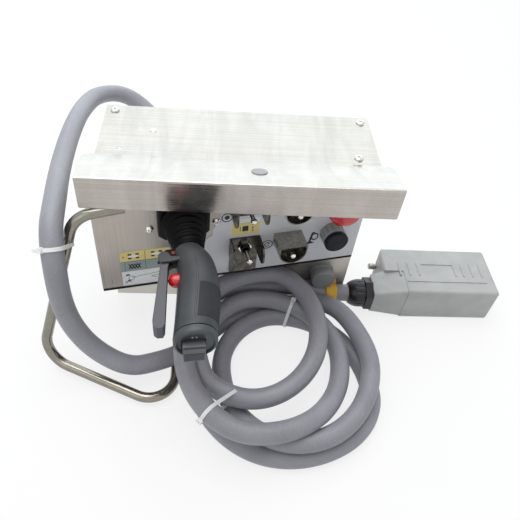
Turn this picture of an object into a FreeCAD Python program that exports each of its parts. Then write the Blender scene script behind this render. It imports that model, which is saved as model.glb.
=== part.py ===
import FreeCAD, Part
import math
import os
import re

import Sketcher

# Wired hand control box of a scissor lift: a stainless box with a turned console
# panel, a tilted rain visor, a joystick and a coiled cable with its plug.
# Millimetres; the origin is the centre of the box's bottom face, X to the
# viewer's right, Y away from the viewer, Z up.

V = FreeCAD.Vector
Place = FreeCAD.Placement
Spin = FreeCAD.Rotation

SIZES = (
    ("body_width", "304", "steel box, left to right"),
    ("body_depth", "80", "steel box, front to back"),
    ("body_height", "234", "steel box without its cover"),
    ("wall_thick", "2", "sheet of the box"),
    ("console_bottom", "88", "height of the console above the floor"),
    ("panel_yaw", "12.5", "degrees that the console panel is turned in plan"),
    ("panel_thick", "2", "console panel sheet"),
    ("panel_slope", "=tan(panel_yaw * 1 deg)", "rise of the panel's plan line"),
    ("panel_secant", "=1 / cos(panel_yaw * 1 deg)", "slant factor of that line"),
    ("panel_length", "=body_width * panel_secant", "panel, end to end"),
    ("panel_height", "=body_height - console_bottom", "panel, bottom to top"),
    ("label_thick", "0.5", "printed switch overlay"),
    ("cover_lap", "1", "cover past the box, each end"),
    ("cover_overhang", "6", "cover past the box, front and back"),
    ("cover_width", "=body_width + 2 * cover_lap", "flat part of the cover"),
    ("cover_depth", "=body_depth + 2 * cover_overhang", "flat part of the cover"),
    ("sheet_thick", "2", "cover sheet"),
    ("visor_flare", "13", "visor root past the flat part, each end"),
    ("visor_taper", "6", "visor narrowing to its lip, each end"),
    ("visor_rear", "=cover_width + 2 * visor_flare", "visor width at its root"),
    ("visor_front", "=visor_rear - 2 * visor_taper", "visor width at its lip"),
    ("lip_gap", "6.2", "lip in front of the panel's near corner"),
    ("lip_reach", "=body_depth / 2 + body_width * panel_slope + lip_gap", "lip, forward of the origin"),
    ("visor_reach", "=lip_reach - cover_depth / 2", "visor, forward of the flat part"),
    ("visor_rise", "22.4", "visor lip above the flat part"),
    ("lip_drop", "38.5", "folded lip"),
    ("rod_dia", "12", "guard rod"),
    ("cable_dia", "23", "control cable"),
    ("stick_u", "94", "joystick, along the panel"),
    ("stick_v", "103", "joystick, up the panel"),
    ("pivot_depth", "14", "joystick pivot behind the panel face"),
    ("flange_size", "56", "square boot flange"),
    ("flange_thick", "8", "square boot flange"),
    ("collar_reach", "45", "foot of the grip in front of the panel"),
    ("grip_yaw", "6.5", "degrees that the grip is turned in plan"),
    ("grip_dia", "43.4", "joystick grip"),
    ("collar_dia", "31", "foot of the grip"),
    ("grip_length", "120", "grip, foot to end face"),
    ("left_u", "165", "left column of toggle switches"),
    ("right_u", "217", "right column of toggle switches"),
    ("low_v", "45", "lower row of toggle switches"),
    ("high_v", "107", "upper row of toggle switches"),
    ("ear_width", "36", "eared toggle guard"),
    ("guard_tall", "27", "toggle guards, up the panel"),
    ("guard_reach", "26.5", "toggle guards in front of the panel"),
    ("ring_width", "34", "ring toggle guard"),
    ("ring_wall", "1.5", "ring toggle guard"),
    ("button_u", "273", "push button"),
    ("button_v", "50", "push button"),
    ("button_dia", "29", "push button cap"),
    ("stop_u", "272", "emergency stop"),
    ("stop_v", "104", "emergency stop"),
    ("stop_dia", "40", "emergency stop mushroom"),
    ("plug_x", "118", "blanking plug"),
    ("plug_z", "56", "blanking plug"),
    ("plug_dia", "31", "blanking plug"),
    ("gland_x", "-88", "rear cable gland"),
    ("gland_z", "98", "rear cable gland"),
    ("coil_x", "61", "centre of the coiled cable"),
    ("coil_y", "-172", "centre of the coiled cable"),
    ("coil_dia", "241", "coiled cable, outside"),
    ("coil_bore", "100", "coiled cable, inside"),
    ("coil_height", "76", "coiled cable"),
    ("hood_gap", "54", "connector hood beside the box"),
    ("hood_left", "=body_width / 2 + hood_gap", "connector hood, left end"),
    ("hood_front", "-72", "connector hood, front face"),
    ("hood_length", "151", "connector hood"),
    ("hood_depth", "77", "connector hood"),
    ("hood_height", "54", "connector hood"),
    ("nose_join", "26", "connector hood, end of its tapered nose"),
    ("nose_rear", "38", "connector hood, rear side of its nose"),
    ("entry_y", "-52.5", "cable entry of the connector"),
)
ALIAS = re.compile(r"\b[a-z]+(?:_[a-z]+)+\b")

doc = FreeCAD.newDocument("LiftControlBox")
sheet = doc.addObject("Spreadsheet::Sheet", "Dims")
for row, (alias, text, note) in enumerate(SIZES, 1):
    sheet.set(f"A{row}", alias)
    sheet.set(f"B{row}", text)
    sheet.set(f"C{row}", note)
    sheet.setAlias(f"B{row}", alias)
doc.recompute()

nodes = []


def linked(text):
    """Expression text with each alias written as a reference to the sheet."""
    return ALIAS.sub(lambda word: "Dims." + word.group(0), str(text))


def value(text):
    """Number that an expression of sheet aliases stands for."""
    return float(sheet.evalExpression(linked(text)))


def bind(item, name, text):
    """Drive one property of an object by an expression of sheet aliases."""
    item.setExpression(name, linked(text))


def fix(sketch, line, end, x, y):
    """Hold one sketch point at the place that two expressions give."""
    for kind, text, axis in (("DistanceX", x, -2), ("DistanceY", y, -1)):
        number = value(text)
        if abs(number) < 1e-9:
            sketch.addConstraint(Sketcher.Constraint("PointOnObject", line, end, axis))
        else:
            rule = Sketcher.Constraint(kind, -1, 1, line, end, number)
            index = sketch.addConstraint(rule)
            bind(sketch, f"Constraints[{index}]", text)


def draw(body, plane, loops, lift="0"):
    """Sketch on one of the body's own planes.

    A loop is a list of corners, each a pair of expressions, or one circle as a
    tuple of the expressions of its centre and radius.
    """
    sketch = body.newObject("Sketcher::SketchObject", "Outline")
    support = [item for item in body.Origin.OriginFeatures if item.Role == plane]
    sketch.AttachmentSupport = [(support[0], "")]
    sketch.MapMode = "FlatFace"
    bind(sketch, "AttachmentOffset.Base.z", lift)
    for loop in loops:
        if isinstance(loop, tuple):
            x, y, radius = loop
            centre = V(value(x), value(y), 0)
            ring = sketch.addGeometry(Part.Circle(centre, V(0, 0, 1), value(radius)), False)
            fix(sketch, ring, 3, x, y)
            index = sketch.addConstraint(Sketcher.Constraint("Radius", ring, value(radius)))
            bind(sketch, f"Constraints[{index}]", radius)
            continue
        corners = [V(value(x), value(y), 0) for x, y in loop]
        ends = corners[1:] + corners[:1]
        lines = [sketch.addGeometry(Part.LineSegment(a, b), False) for a, b in zip(corners, ends)]
        for line, after in zip(lines, lines[1:] + lines[:1]):
            sketch.addConstraint(Sketcher.Constraint("Coincident", line, 2, after, 1))
        for line, (x, y) in zip(lines, loop):
            fix(sketch, line, 1, x, y)
    return sketch


def rectangle(x0, y0, x1, y1):
    """Corners of an upright rectangle."""
    return [(x0, y0), (x1, y0), (x1, y1), (x0, y1)]


def new_body():
    """Empty body."""
    return doc.addObject("PartDesign::Body", "Body")


def pad(body, plane, loops, length, lift="0", both=False):
    """Add the sketched outline, drawn out by a length."""
    sketch = draw(body, plane, loops, lift)
    feature = body.newObject("PartDesign::Pad", "Pad")
    feature.Profile = sketch
    bind(feature, "Length", length)
    if both:
        feature.SideType = "Symmetric"
    body.Tip = feature
    doc.recompute()
    return feature


def pocket(body, plane, loops, length, lift="0"):
    """Take the sketched outline away, against the plane's normal."""
    sketch = draw(body, plane, loops, lift)
    feature = body.newObject("PartDesign::Pocket", "Pocket")
    feature.Profile = sketch
    bind(feature, "Length", length)
    body.Tip = feature
    doc.recompute()
    return feature


def turned(points, angle=360.0):
    """Body of revolution about Z; the corners are radius and height."""
    body = new_body()
    sketch = draw(body, "XZ_Plane", [points])
    feature = body.newObject("PartDesign::Revolution", "Turning")
    feature.Profile = sketch
    feature.ReferenceAxis = (sketch, ["V_Axis"])
    feature.Angle = angle
    feature.Midplane = angle < 360.0
    body.Tip = feature
    return body


def soften(body, radius, pick):
    """Round the edges of the body's last feature that a test picks."""
    doc.recompute()
    base = body.Tip
    names = [f"Edge{i}" for i, edge in enumerate(base.Shape.Edges, 1) if pick(edge)]
    feature = body.newObject("PartDesign::Fillet", "Round")
    feature.Base = (base, names)
    bind(feature, "Radius", radius)
    body.Tip = feature
    doc.recompute()


def box(x, y, z, length, width, height):
    """Block from its lowest corner and its three sizes."""
    item = doc.addObject("Part::Box", "Block")
    names = ("Placement.Base.x", "Placement.Base.y", "Placement.Base.z", "Length", "Width", "Height")
    for name, text in zip(names, (x, y, z, length, width, height)):
        bind(item, name, text)
    return item


def bar(radius, length, at, axis):
    """Round bar that starts at a point and runs along an axis."""
    item = doc.addObject("Part::Cylinder", "Bar")
    bind(item, "Radius", radius)
    bind(item, "Height", length)
    item.Placement = Place(at, Spin(V(0, 0, 1), axis))
    return item


def hexagon(flats, start, height):
    """Upright six-sided prism by its width over flats."""
    item = doc.addObject("Part::Prism", "Hexagon")
    item.Polygon = 6
    bind(item, "Circumradius", f"({flats}) / sqrt(3)")
    bind(item, "Height", height)
    bind(item, "Placement.Base.z", start)
    return item


def fuse(*items):
    """One solid from several that touch."""
    item = doc.addObject("Part::MultiFuse", "Fuse")
    item.Shapes = list(items)
    item.Refine = True
    return item


def cut(base, *tools):
    """A solid with other solids taken away."""
    for tool in tools:
        item = doc.addObject("Part::Cut", "Cut")
        item.Base = base
        item.Tool = tool
        base = item
    return base


def rounded(item, radius, pick):
    """A solid with the picked edges rounded."""
    doc.recompute()
    size = value(radius)
    edges = [(i, size, size) for i, edge in enumerate(item.Shape.Edges, 1) if pick(edge)]
    feature = doc.addObject("Part::Fillet", "Rounded")
    feature.Base = item
    feature.Edges = edges
    return feature


def runs_along(edge, axis):
    """True for a straight edge along an axis."""
    if not isinstance(edge.Curve, (Part.Line, Part.LineSegment)):
        return False
    return abs(edge.tangentAt(edge.FirstParameter).dot(axis)) > 0.999


def node(label, item, place=Place()):
    """Name a finished piece and put it in its place."""
    item.Label = label
    item.Placement = place
    nodes.append(item)


def group(label, item, places):
    """One node of identical pieces, each in its own place."""
    doc.recompute()
    copies = []
    for place in places:
        copy = item.Shape.copy()
        copy.Placement = place * item.Placement
        copies.append(copy)
    feature = doc.addObject("Part::Feature", "Group")
    feature.Shape = Part.makeCompound(copies)
    node(label, feature)


def bent_path(points, radius=None):
    """Straight runs with tangent arcs at the corners, and the arcs' radii.

    Without a radius each arc takes 0.45 of the shorter run beside it.
    """
    edges = []
    radii = []
    start = points[0]
    for before, corner, after in zip(points, points[1:], points[2:]):
        inward = (corner - before).normalize()
        outward = (after - corner).normalize()
        half = inward.getAngle(outward) / 2
        shorter = min((corner - before).Length, (after - corner).Length)
        setback = 0.45 * shorter if radius is None else radius * math.tan(half)
        bend = setback / math.tan(half)
        towards = (outward - inward).normalize()
        middle = corner + towards * (bend / math.cos(half) - bend)
        first = corner - inward * setback
        last = corner + outward * setback
        edges.append(Part.LineSegment(start, first).toShape())
        edges.append(Part.Arc(first, middle, last).toShape())
        radii.append(bend)
        start = last
    edges.append(Part.LineSegment(start, points[-1]).toShape())
    return Part.Wire(edges), radii


def tube(label, points, diameter, radius=None):
    """Round bar or cord along a bent path, with its figures printed."""
    path, radii = bent_path(points, radius)
    size = value(diameter)
    section = Part.Wire([Part.Circle(points[0], points[1] - points[0], size / 2).toShape()])
    feature = doc.addObject("Part::Feature", "Tube")
    feature.Shape = path.makePipeShell([section], True, False)
    node(label, feature)
    share = feature.Shape.Volume / (math.pi * size * size / 4 * path.Length)
    print(label, "radii", [round(r) for r in radii], "length", round(path.Length), "volume", round(share, 4))


doc.recompute()
X_AXIS = V(1, 0, 0)
Y_AXIS = V(0, 1, 0)
Z_AXIS = V(0, 0, 1)
upright = Spin(X_AXIS, 90)
panel_corner = V(
    value("-body_width / 2"),
    value("-body_depth / 2 - body_width * panel_slope"),
    value("console_bottom"),
)
panel_frame = Place(panel_corner, Spin(Z_AXIS, value("panel_yaw")) * upright)


def on_panel(u, v, n="0"):
    """Place on the panel: along it, up it and out of it."""
    return panel_frame * Place(V(value(u), value(v), value(n)), Spin())


# Steel box: base, console wedge, hollow from the top and behind the panel, and
# the wall holes of the cable gland and the blanking plug.
enclosure = new_body()
floor_plan = rectangle("-body_width / 2", "-body_depth / 2", "body_width / 2", "body_depth / 2")
pad(enclosure, "XY_Plane", [floor_plan], "body_height")
wedge = [
    ("body_width / 2", "-body_depth / 2"),
    ("-body_width / 2", "-body_depth / 2"),
    ("-body_width / 2", "-body_depth / 2 - body_width * panel_slope"),
]
pad(enclosure, "XY_Plane", [wedge], "panel_height", "console_bottom")
rear_line = value("body_depth / 2") - 0.1
soften(enclosure, "1.5 * wall_thick", lambda edge: runs_along(edge, Z_AXIS) and edge.CenterOfMass.y > rear_line)
hollow = rectangle(
    "wall_thick - body_width / 2",
    "wall_thick - body_depth / 2",
    "body_width / 2 - wall_thick",
    "body_depth / 2 - wall_thick",
)
pocket(enclosure, "XY_Plane", [hollow], "body_height - wall_thick", "body_height")
behind = rectangle("wall_thick - body_width / 2", "-150", "body_width / 2 - 12", "-30")
pocket(enclosure, "XY_Plane", [behind], "panel_height - 2 * wall_thick", "body_height - wall_thick")
seat_line = "-body_depth / 2 + panel_thick * panel_secant"
seat = [
    ("-body_width / 2 - 20", seat_line + " - (body_width + 20) * panel_slope"),
    ("body_width / 2 + 20", seat_line + " + 20 * panel_slope"),
    ("body_width / 2 + 20", "-150"),
    ("-body_width / 2 - 20", "-150"),
]
pocket(enclosure, "XY_Plane", [seat], "panel_height", "body_height")
pocket(enclosure, "XZ_Plane", [("gland_x", "gland_z", "16")], "2 * wall_thick", "wall_thick - body_depth / 2")
pocket(enclosure, "XZ_Plane", [("plug_x", "plug_z", "11")], "2 * wall_thick", "body_depth / 2 + 0.5")
node("enclosure", enclosure)

# Console panel and its printed overlay, both in the panel's own frame.
toggle_spots = [("left_u", "low_v"), ("left_u", "high_v"), ("right_u", "low_v"), ("right_u", "high_v")]
device_spots = [("button_u", "button_v"), ("stop_u", "stop_v")]
base_screws = [(u, v) for u in (-36.5, 36.5) for v in (-15, 25)]
screw_spots = [(f"stick_u + {u}", f"stick_v + {v}") for u, v in base_screws]
front_panel = new_body()
panel_loops = [rectangle("0", "0", "panel_length", "panel_height"), ("stick_u", "stick_v", "22")]
panel_loops += [(u, v, "6.1") for u, v in toggle_spots]
panel_loops += [(u, v, "11.1") for u, v in device_spots]
panel_loops += [(u, v, "2.2") for u, v in screw_spots]
pad(front_panel, "XY_Plane", panel_loops, "panel_thick", "-panel_thick")
node("front_panel", front_panel, panel_frame)

label_sheet = new_body()
label_loops = [rectangle("stick_u + 33", "1", "panel_length - 1", "panel_height - 1")]
label_loops += [(u, v, "6.2") for u, v in toggle_spots]
label_loops += [(u, v, "11.2") for u, v in device_spots]
pad(label_sheet, "XY_Plane", label_loops, "label_thick")
stick_spot = V(value("stick_u"), value("stick_v"), -2)
scoops = [bar("42", "4", stick_spot, Z_AXIS)]
scoops += [bar("5.4", "4", stick_spot + V(u, v, 0), Z_AXIS) for u, v in base_screws if u > 0]
node("switch_overlay", cut(label_sheet, *scoops), panel_frame)

# Cover with its tilted visor and folded lip, bent from one sheet.
hood_sheet = new_body()
lip_line = "-lip_reach"
visor_top = "body_height + sheet_thick + visor_rise"
bend_profile = [
    ("cover_depth / 2", "body_height + sheet_thick"),
    ("-cover_depth / 2", "body_height + sheet_thick"),
    (lip_line, visor_top),
    (lip_line, visor_top + " - lip_drop"),
    (lip_line + " + sheet_thick", visor_top + " - lip_drop"),
    (lip_line + " + sheet_thick", visor_top + " - 1.38 * sheet_thick"),
    ("-cover_depth / 2 - 0.16 * sheet_thick", "body_height"),
    ("cover_depth / 2", "body_height"),
]
pad(hood_sheet, "YZ_Plane", [bend_profile], "visor_rear", both=True)
fold = V(0, value(lip_line), value(visor_top))


def at_fold(edge):
    """True for the two long edges of the visor's front fold."""
    middle = edge.CenterOfMass
    return runs_along(edge, X_AXIS) and abs(middle.y - fold.y) < 2.5 and abs(middle.z - fold.z) < 3.5


soften(hood_sheet, "1.2 * sheet_thick", at_fold)
plan_line = [
    ("-cover_width / 2", "cover_depth / 2 + 4"),
    ("cover_width / 2", "cover_depth / 2 + 4"),
    ("cover_width / 2", "-cover_depth / 2 - 1"),
    ("visor_rear / 2", "-cover_depth / 2 - 1"),
    ("visor_front / 2", lip_line + " - 4"),
    ("-visor_front / 2", lip_line + " - 4"),
    ("-visor_rear / 2", "-cover_depth / 2 - 1"),
    ("-cover_width / 2", "-cover_depth / 2 - 1"),
]
outline = new_body()
pad(outline, "XY_Plane", [plan_line], "150", "body_height - 60")
wide = value("visor_rear / 2") - 1
soften(outline, "11", lambda edge: runs_along(edge, Z_AXIS) and abs(edge.CenterOfMass.x) > wide)
bent_cover = doc.addObject("Part::Common", "BentCover")
bent_cover.Base = hood_sheet
bent_cover.Tool = outline


def at_lip_corner(edge):
    """True for the short edges at the lower corners of the lip."""
    middle = edge.CenterOfMass
    return edge.Length < 3 and middle.y < fold.y + 3 and middle.z < fold.z - 30


screw_row = value("body_depth / 2 - 5")
rear_screw = value("body_width / 2 - 9.5")
front_screw = value("body_width / 2 - 22.5")
cover_screw_spots = [
    (-rear_screw, screw_row), (rear_screw, screw_row), (front_screw, -screw_row), (-front_screw, -screw_row),
]
cover_holes = [bar("2.7", "20", V(x, y, value("body_height - 10")), Z_AXIS) for x, y in cover_screw_spots]
cover_holes.append(bar("2.1", "20", V(-96.6, -1, value("body_height - 10")), Z_AXIS))
visor_spin = Spin(X_AXIS, -math.degrees(math.atan2(value("visor_rise"), value("visor_reach"))))
visor_spot = V(17, value("-cover_depth / 2 - visor_reach / 2"), value(visor_top + " - visor_rise / 2"))
visor_hole = bar("7", "12", visor_spot + visor_spin.multVec(V(0, 0, -6)), visor_spin.multVec(Z_AXIS))
node("rain_hood", cut(rounded(bent_cover, "2", at_lip_corner), visor_hole, *cover_holes))
plug_profile = [("0", "-4"), ("6.8", "-4"), ("6.8", "0"), ("8.6", "0"), ("8.2", "0.9"), ("0", "1.2")]
node("visor_plug", turned(plug_profile), Place(visor_spot, visor_spin))
cover_top = value("body_height + sheet_thick")
rivet_profile = [("0", "-4"), ("2", "-4"), ("2", "0"), ("3.6", "0"), ("3", "1.1"), ("0", "1.5")]
node("cover_rivet", turned(rivet_profile), Place(V(-96.6, -1, cover_top), Spin()))
cover_screw = turned([
    ("0", "-11"), ("2.4", "-11"), ("2.4", "0"), ("5", "0"), ("4.8", "1.6"), ("3.4", "2.8"), ("1.6", "3"),
    ("1.6", "1.4"), ("0", "1.4"),
])
group("cover_screws", cover_screw, [Place(V(x, y, cover_top), Spin()) for x, y in cover_screw_spots])
nut_block = cut(box("-6", "-8", "-10", "12", "11", "10"), bar("2.5", "12", V(0, 0, -11), Z_AXIS))
bracket_places = []
for x, y in cover_screw_spots:
    bracket_places.append(Place(V(x, y, value("body_height")), Spin(Z_AXIS, 0 if y > 0 else 180)))
group("cover_brackets", nut_block, bracket_places)

# Guard rod: along the panel, down beside the box, across the floor and back.
rod_offset = "rod_dia / 2 + 0.05"
rod_route = [
    on_panel("34", "128", rod_offset).Base,
    on_panel("-16", "123", rod_offset).Base,
    V(-224, -151, 16),
    V(-67, -218, 8),
    V(-67, value("-body_depth / 2"), 8),
]
tube("guard_rod", rod_route, "rod_dia", 30)

# Joystick base behind the panel; its frame stands on the stick's axis.
stick = on_panel("stick_u", "stick_v")
pivot = "-pivot_depth"
pin_axis = V(0, 1, 0)
base_shell = fuse(box("-43", "-20", "-5", "86", "50", "3"), box("-24", "-26", "-44", "48", "52", "42"))
base_tools = [box("-21", "-22", "-41", "42", "44", "50")]
base_tools.append(bar("3.05", "60", V(0, -30, value(pivot)), pin_axis))
base_tools += [bar("2.05", "8", V(u, v, -8), Z_AXIS) for u, v in base_screws]
node("joystick_housing", cut(base_shell, *base_tools), stick)
node("pivot_pin", bar("3", "51.6", V(), Z_AXIS), stick * Place(V(0, -25.8, value(pivot)), Spin(Z_AXIS, pin_axis)))
shaft = fuse(
    bar("8", "20", V(0, -10, value(pivot)), pin_axis),
    bar("6", "collar_reach + 17 + pivot_depth", V(0, 0, value(pivot)), Z_AXIS),
    bar("12", "6", V(0, 0, value("collar_reach - 8")), Z_AXIS),
)
node("lever_shaft", cut(shaft, bar("3.1", "60", V(0, -30, value(pivot)), pin_axis)), stick)
stick_screw = turned([
    ("0", "-9"), ("2", "-9"), ("2", "0"), ("4.6", "0"), ("4.4", "1.5"), ("3.2", "2.6"), ("1.6", "2.8"),
    ("1.6", "1.3"), ("0", "1.3"),
])
group("joystick_screws", stick_screw, [on_panel(u, v) for u, v in screw_spots])

flange = new_body()
half = "flange_size / 2"
nip = "flange_size / 2 - 7"
flange_line = [
    (half, nip), (nip, half), ("-(" + nip + ")", half), ("-(" + half + ")", nip),
    ("-(" + half + ")", "-(" + nip + ")"), ("-(" + nip + ")", "-(" + half + ")"),
    (nip, "-(" + half + ")"), (half, "-(" + nip + ")"),
]
pad(flange, "XY_Plane", [flange_line, ("0", "0", "20")], "flange_thick")
soften(flange, "2", lambda edge: edge.CenterOfMass.z > value("flange_thick") - 0.1 and edge.CenterOfMass.Length > 21)
node("boot_flange", flange, stick)
boot_profile = [
    ("21", "8"), ("24.5", "8"), ("25", "11"), ("21", "14"), ("23.6", "17.5"), ("19.4", "20.5"), ("21.8", "24"),
    ("17.8", "27"), ("19.8", "30.5"), ("16", "33.5"), ("16.9", "36"), ("15.5", "38"), ("15.5", "42.5"),
    ("12.3", "42.5"), ("12.3", "36"), ("13.4", "32"), ("15.4", "27"), ("17", "20.5"), ("18.6", "14"),
]
node("boot_bellows", turned(boot_profile), stick)

# Grip, canted on the shaft: its frame stands on the foot, Z along the grip.
foot = on_panel("stick_u", "stick_v", "collar_reach").Base
grip_frame = Place(foot, Spin(Z_AXIS, value("grip_yaw")) * upright)
shaft_axis = grip_frame.Rotation.inverted().multVec(panel_frame.Rotation.multVec(Z_AXIS))
grip_radius = "grip_dia / 2"
joint_line = "grip_length - 14"
moulding = turned([
    ("0", "0"), ("collar_dia / 2", "0"), ("collar_dia / 2", "8"), ("17.6", "15"), ("20.4", "25"),
    (grip_radius, "34"), (grip_radius, joint_line + " - 0.3"), ("0", joint_line + " - 0.3"),
])


def beside_grip(gap):
    """Expression of a place on the grip's left, that far outside its surface."""
    return f"-grip_dia / 2 - {gap}"


lug = [
    ("-13", "7"), (beside_grip(4.3), "9"), (beside_grip(9.8), "19"), (beside_grip(9.8), "27"),
    (beside_grip(6.8), "30.5"), (beside_grip(1.8), "30.5"), ("1.7 - grip_dia / 2", "27"), ("-13", "27"),
]
pad(moulding, "XZ_Plane", [lug], "10", both=True)
hinge_spot = V(value(beside_grip(4.3)), 0, 25)
plunger_height = 47
plunger_root = value("9.7 - grip_dia / 2")
grip_tools = (
    bar("6.05", "27.5", shaft_axis * -10, shaft_axis),
    bar("7.5", "16", V(plunger_root - 13, 0, plunger_height), X_AXIS),
    bar("2.55", "30", hinge_spot + V(0, -15, 0), Y_AXIS),
    bar("2.1", "3", V(-18, 3, 15), Y_AXIS),
)
node("grip_body", cut(moulding, *grip_tools), grip_frame)
pad_profile = rectangle(grip_radius + " + 0.3", "54", grip_radius + " + 1.1", "95")
node("grip_pad", turned(pad_profile, 150.0), grip_frame)
end_cap = turned([
    ("0", joint_line), (grip_radius, joint_line), (grip_radius, "grip_length - 8"),
    (grip_radius + " - 1.1", "grip_length - 3"), (grip_radius + " - 3.7", "grip_length"), ("0", "grip_length"),
])
rocker_axis = value("grip_length") - 7
cap_tools = [
    box("-11.2", "-12.6", "grip_length - 12", "22.4", "25.2", "20"),
    bar("1.55", "28", V(-14, 0, rocker_axis), X_AXIS),
]
for x in (-1.9, 1.9):
    cap_tools.append(bar("1.35", "3", V(x, 15.6, value("grip_length") - 2.5), Z_AXIS))
node("grip_cap", cut(end_cap, *cap_tools), grip_frame)
dot = turned([("0", "-2.2"), ("1.25", "-2.2"), ("1.25", "0.3"), ("0", "0.6")])
dot_place = grip_frame * Place(V(0, 15.6, value("grip_length")), Spin())
group("cap_dots", dot, [dot_place * Place(V(x, 0, 0), Spin()) for x in (-1.9, 1.9)])
rocker = new_body()
rocker_line = [
    (10.4, -9.5), (10.4, 5), (8, 7), (3.5, 7), (3, 4.5), (1.4, 4.5), (1, 6.4), (-2, 6.4), (-2.5, 5), (-5, 5),
    (-5.5, 6), (-8.4, 6), (-10.4, 3.4), (-10.4, -9.5),
]
pad(rocker, "YZ_Plane", [[(str(y), f"grip_length + {z}") for y, z in rocker_line]], "20", both=True)
node("thumb_rocker", cut(rocker, bar("1.6", "30", V(-15, 0, rocker_axis), X_AXIS)), grip_frame)
node("rocker_pin", bar("1.5", "27", V(), Z_AXIS), grip_frame * Place(V(-13.5, 0, rocker_axis), Spin(Z_AXIS, X_AXIS)))
node("grip_led", bar("2", "2.6", V(), Z_AXIS), grip_frame * Place(V(-18, 3.1, 15), Spin(Z_AXIS, Y_AXIS)))

# Trigger bar on the grip's left, its pin and the red plunger that it presses.
trigger = new_body()
trigger_gaps = [
    (8.3, 19.5), (9.8, 32), (13.8, 60), (18.9, 96), (18.3, 103), (15.3, 106), (10.3, 106), (8.3, 102),
    (2.8, 36), (1.3, 30), (1.1, 19.5),
]
pad(trigger, "XZ_Plane", [[(beside_grip(gap), str(z)) for gap, z in trigger_gaps]], "16", both=True)
soften(trigger, "2.5", lambda edge: runs_along(edge, (V(-40.6, 0, 96) - V(-35.5, 0, 60)).normalize()))
fork = box(beside_grip(14.3), "-5.4", "15", "20", "10.8", "18.5")
node("trigger_lever", cut(trigger, fork, bar("2.62", "30", hinge_spot + V(0, -15, 0), Y_AXIS)), grip_frame)
pin_place = grip_frame * Place(hinge_spot + V(0, -8.6, 0), Spin(Z_AXIS, Y_AXIS))
node("trigger_pin", bar("2.5", "17.2", V(), Z_AXIS), pin_place)
plunger_profile = [("0", "0"), ("7.4", "0"), ("7.4", "11.4"), ("6.2", "12.4"), ("0", "12.6")]
plunger_place = grip_frame * Place(V(plunger_root, 0, plunger_height), Spin(Z_AXIS, V(-1, 0, 0)))
node("trigger_button", turned(plunger_profile), plunger_place)

# Toggle switches: body and threaded bush, nut, guard and lever.
case_solid = fuse(box("-7", "-14", "-28", "14", "28", "26"), bar("5.9", "10.5", V(0, 0, -2), Z_AXIS))
toggle_case = cut(case_solid, bar("4", "20", V(0, 0, -6), Z_AXIS))
group("toggle_cases", toggle_case, [on_panel(u, v) for u, v in toggle_spots])
guard_foot = "label_thick + 2"
toggle_nut = cut(hexagon("14", guard_foot, "2.5"), bar("6", "10", V(), Z_AXIS))
group("toggle_nuts", toggle_nut, [on_panel(u, v) for u, v in toggle_spots])
ears = new_body()
ear_line = [
    ("guard_tall / 2", "label_thick"), ("guard_tall / 2", "guard_reach"),
    ("-guard_tall / 2", "guard_reach"), ("-guard_tall / 2", "label_thick"),
]
pad(ears, "YZ_Plane", [ear_line], "ear_width", both=True)
soften(ears, "10", lambda edge: runs_along(edge, X_AXIS) and edge.CenterOfMass.z > value("guard_reach") - 1)
channel = box("2 - ear_width / 2", "-guard_tall", guard_foot, "ear_width - 4", "2 * guard_tall", "40")
ear_guard = cut(ears, channel, bar("6.1", "10", V(0, 0, -1), Z_AXIS))
group("ear_guards", ear_guard, [on_panel("left_u", v) for v in ("low_v", "high_v")])


def d_prism(inset, start, height):
    """Prism of the ring guard's outline: flat above, half round below."""
    radius = f"(ring_width / 2 - {inset})"
    bottom = "(ring_width / 2 - guard_tall / 2)"
    top = f"(guard_tall / 2 - {inset})"
    block = box("-" + radius, bottom, start, "2 * " + radius, f"{top} - {bottom}", height)
    half_round = bar(radius, height, V(0, value(bottom), value(start)), Z_AXIS)
    half_round.Placement.Rotation = Spin(Z_AXIS, 180)
    half_round.Angle = 180
    return fuse(block, half_round)


ring_solid = d_prism("0", "label_thick", "guard_reach - label_thick")
ring_room = d_prism("ring_wall", guard_foot, "guard_reach")
ring_guard = cut(ring_solid, ring_room, bar("6.1", "10", V(0, 0, -1), Z_AXIS))
group("ring_guards", ring_guard, [on_panel("right_u", v) for v in ("low_v", "high_v")])
toggle_names = ("lever_left_low", "lever_left_high", "lever_right_low", "lever_right_high")
for label, (u, v) in zip(toggle_names, toggle_spots):
    drum = bar("3.6", "3.2", V(-1.6, 0, 0), X_AXIS)
    stem = doc.addObject("Part::Cone", "Stem")
    stem.Radius1 = 1.8
    stem.Radius2 = 2.4
    stem.Height = 26
    tip = doc.addObject("Part::Sphere", "Tip")
    tip.Radius = 3.6
    tip.Placement = Place(V(0, 0, 26), Spin())
    node(label, fuse(drum, stem, tip), on_panel(u, v, "1"))

# Push button and emergency stop, with their nuts and contact blocks.
button_spot = on_panel("button_u", "button_v")
stop_spot = on_panel("stop_u", "stop_v")
node("button_bezel", turned([
    ("7", "-22"), ("10.9", "-22"), ("10.9", "label_thick"), ("button_dia / 2 + 0.25", "label_thick"),
    ("button_dia / 2 + 0.25", "13.5"), ("button_dia / 2 - 1", "14.5"), ("7", "14.5"),
]), button_spot)
node("button_cap", turned([
    ("0", "-12"), ("6.9", "-12"), ("6.9", "17"), ("button_dia / 2", "17"), ("button_dia / 2", "20.6"),
    ("button_dia / 2 - 1.4", "22"), ("0", "22.4"),
]), button_spot)
node("estop_collar", turned([
    ("7", "-22"), ("10.9", "-22"), ("10.9", "label_thick"), ("15", "label_thick"), ("15", "10"), ("13", "12"),
    ("7", "12"),
]), stop_spot)
node("estop_stem", turned([
    ("0", "-12"), ("6.9", "-12"), ("6.9", "17.7"), ("5", "17.7"), ("5", "26"), ("0", "26"),
]), stop_spot)
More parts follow.
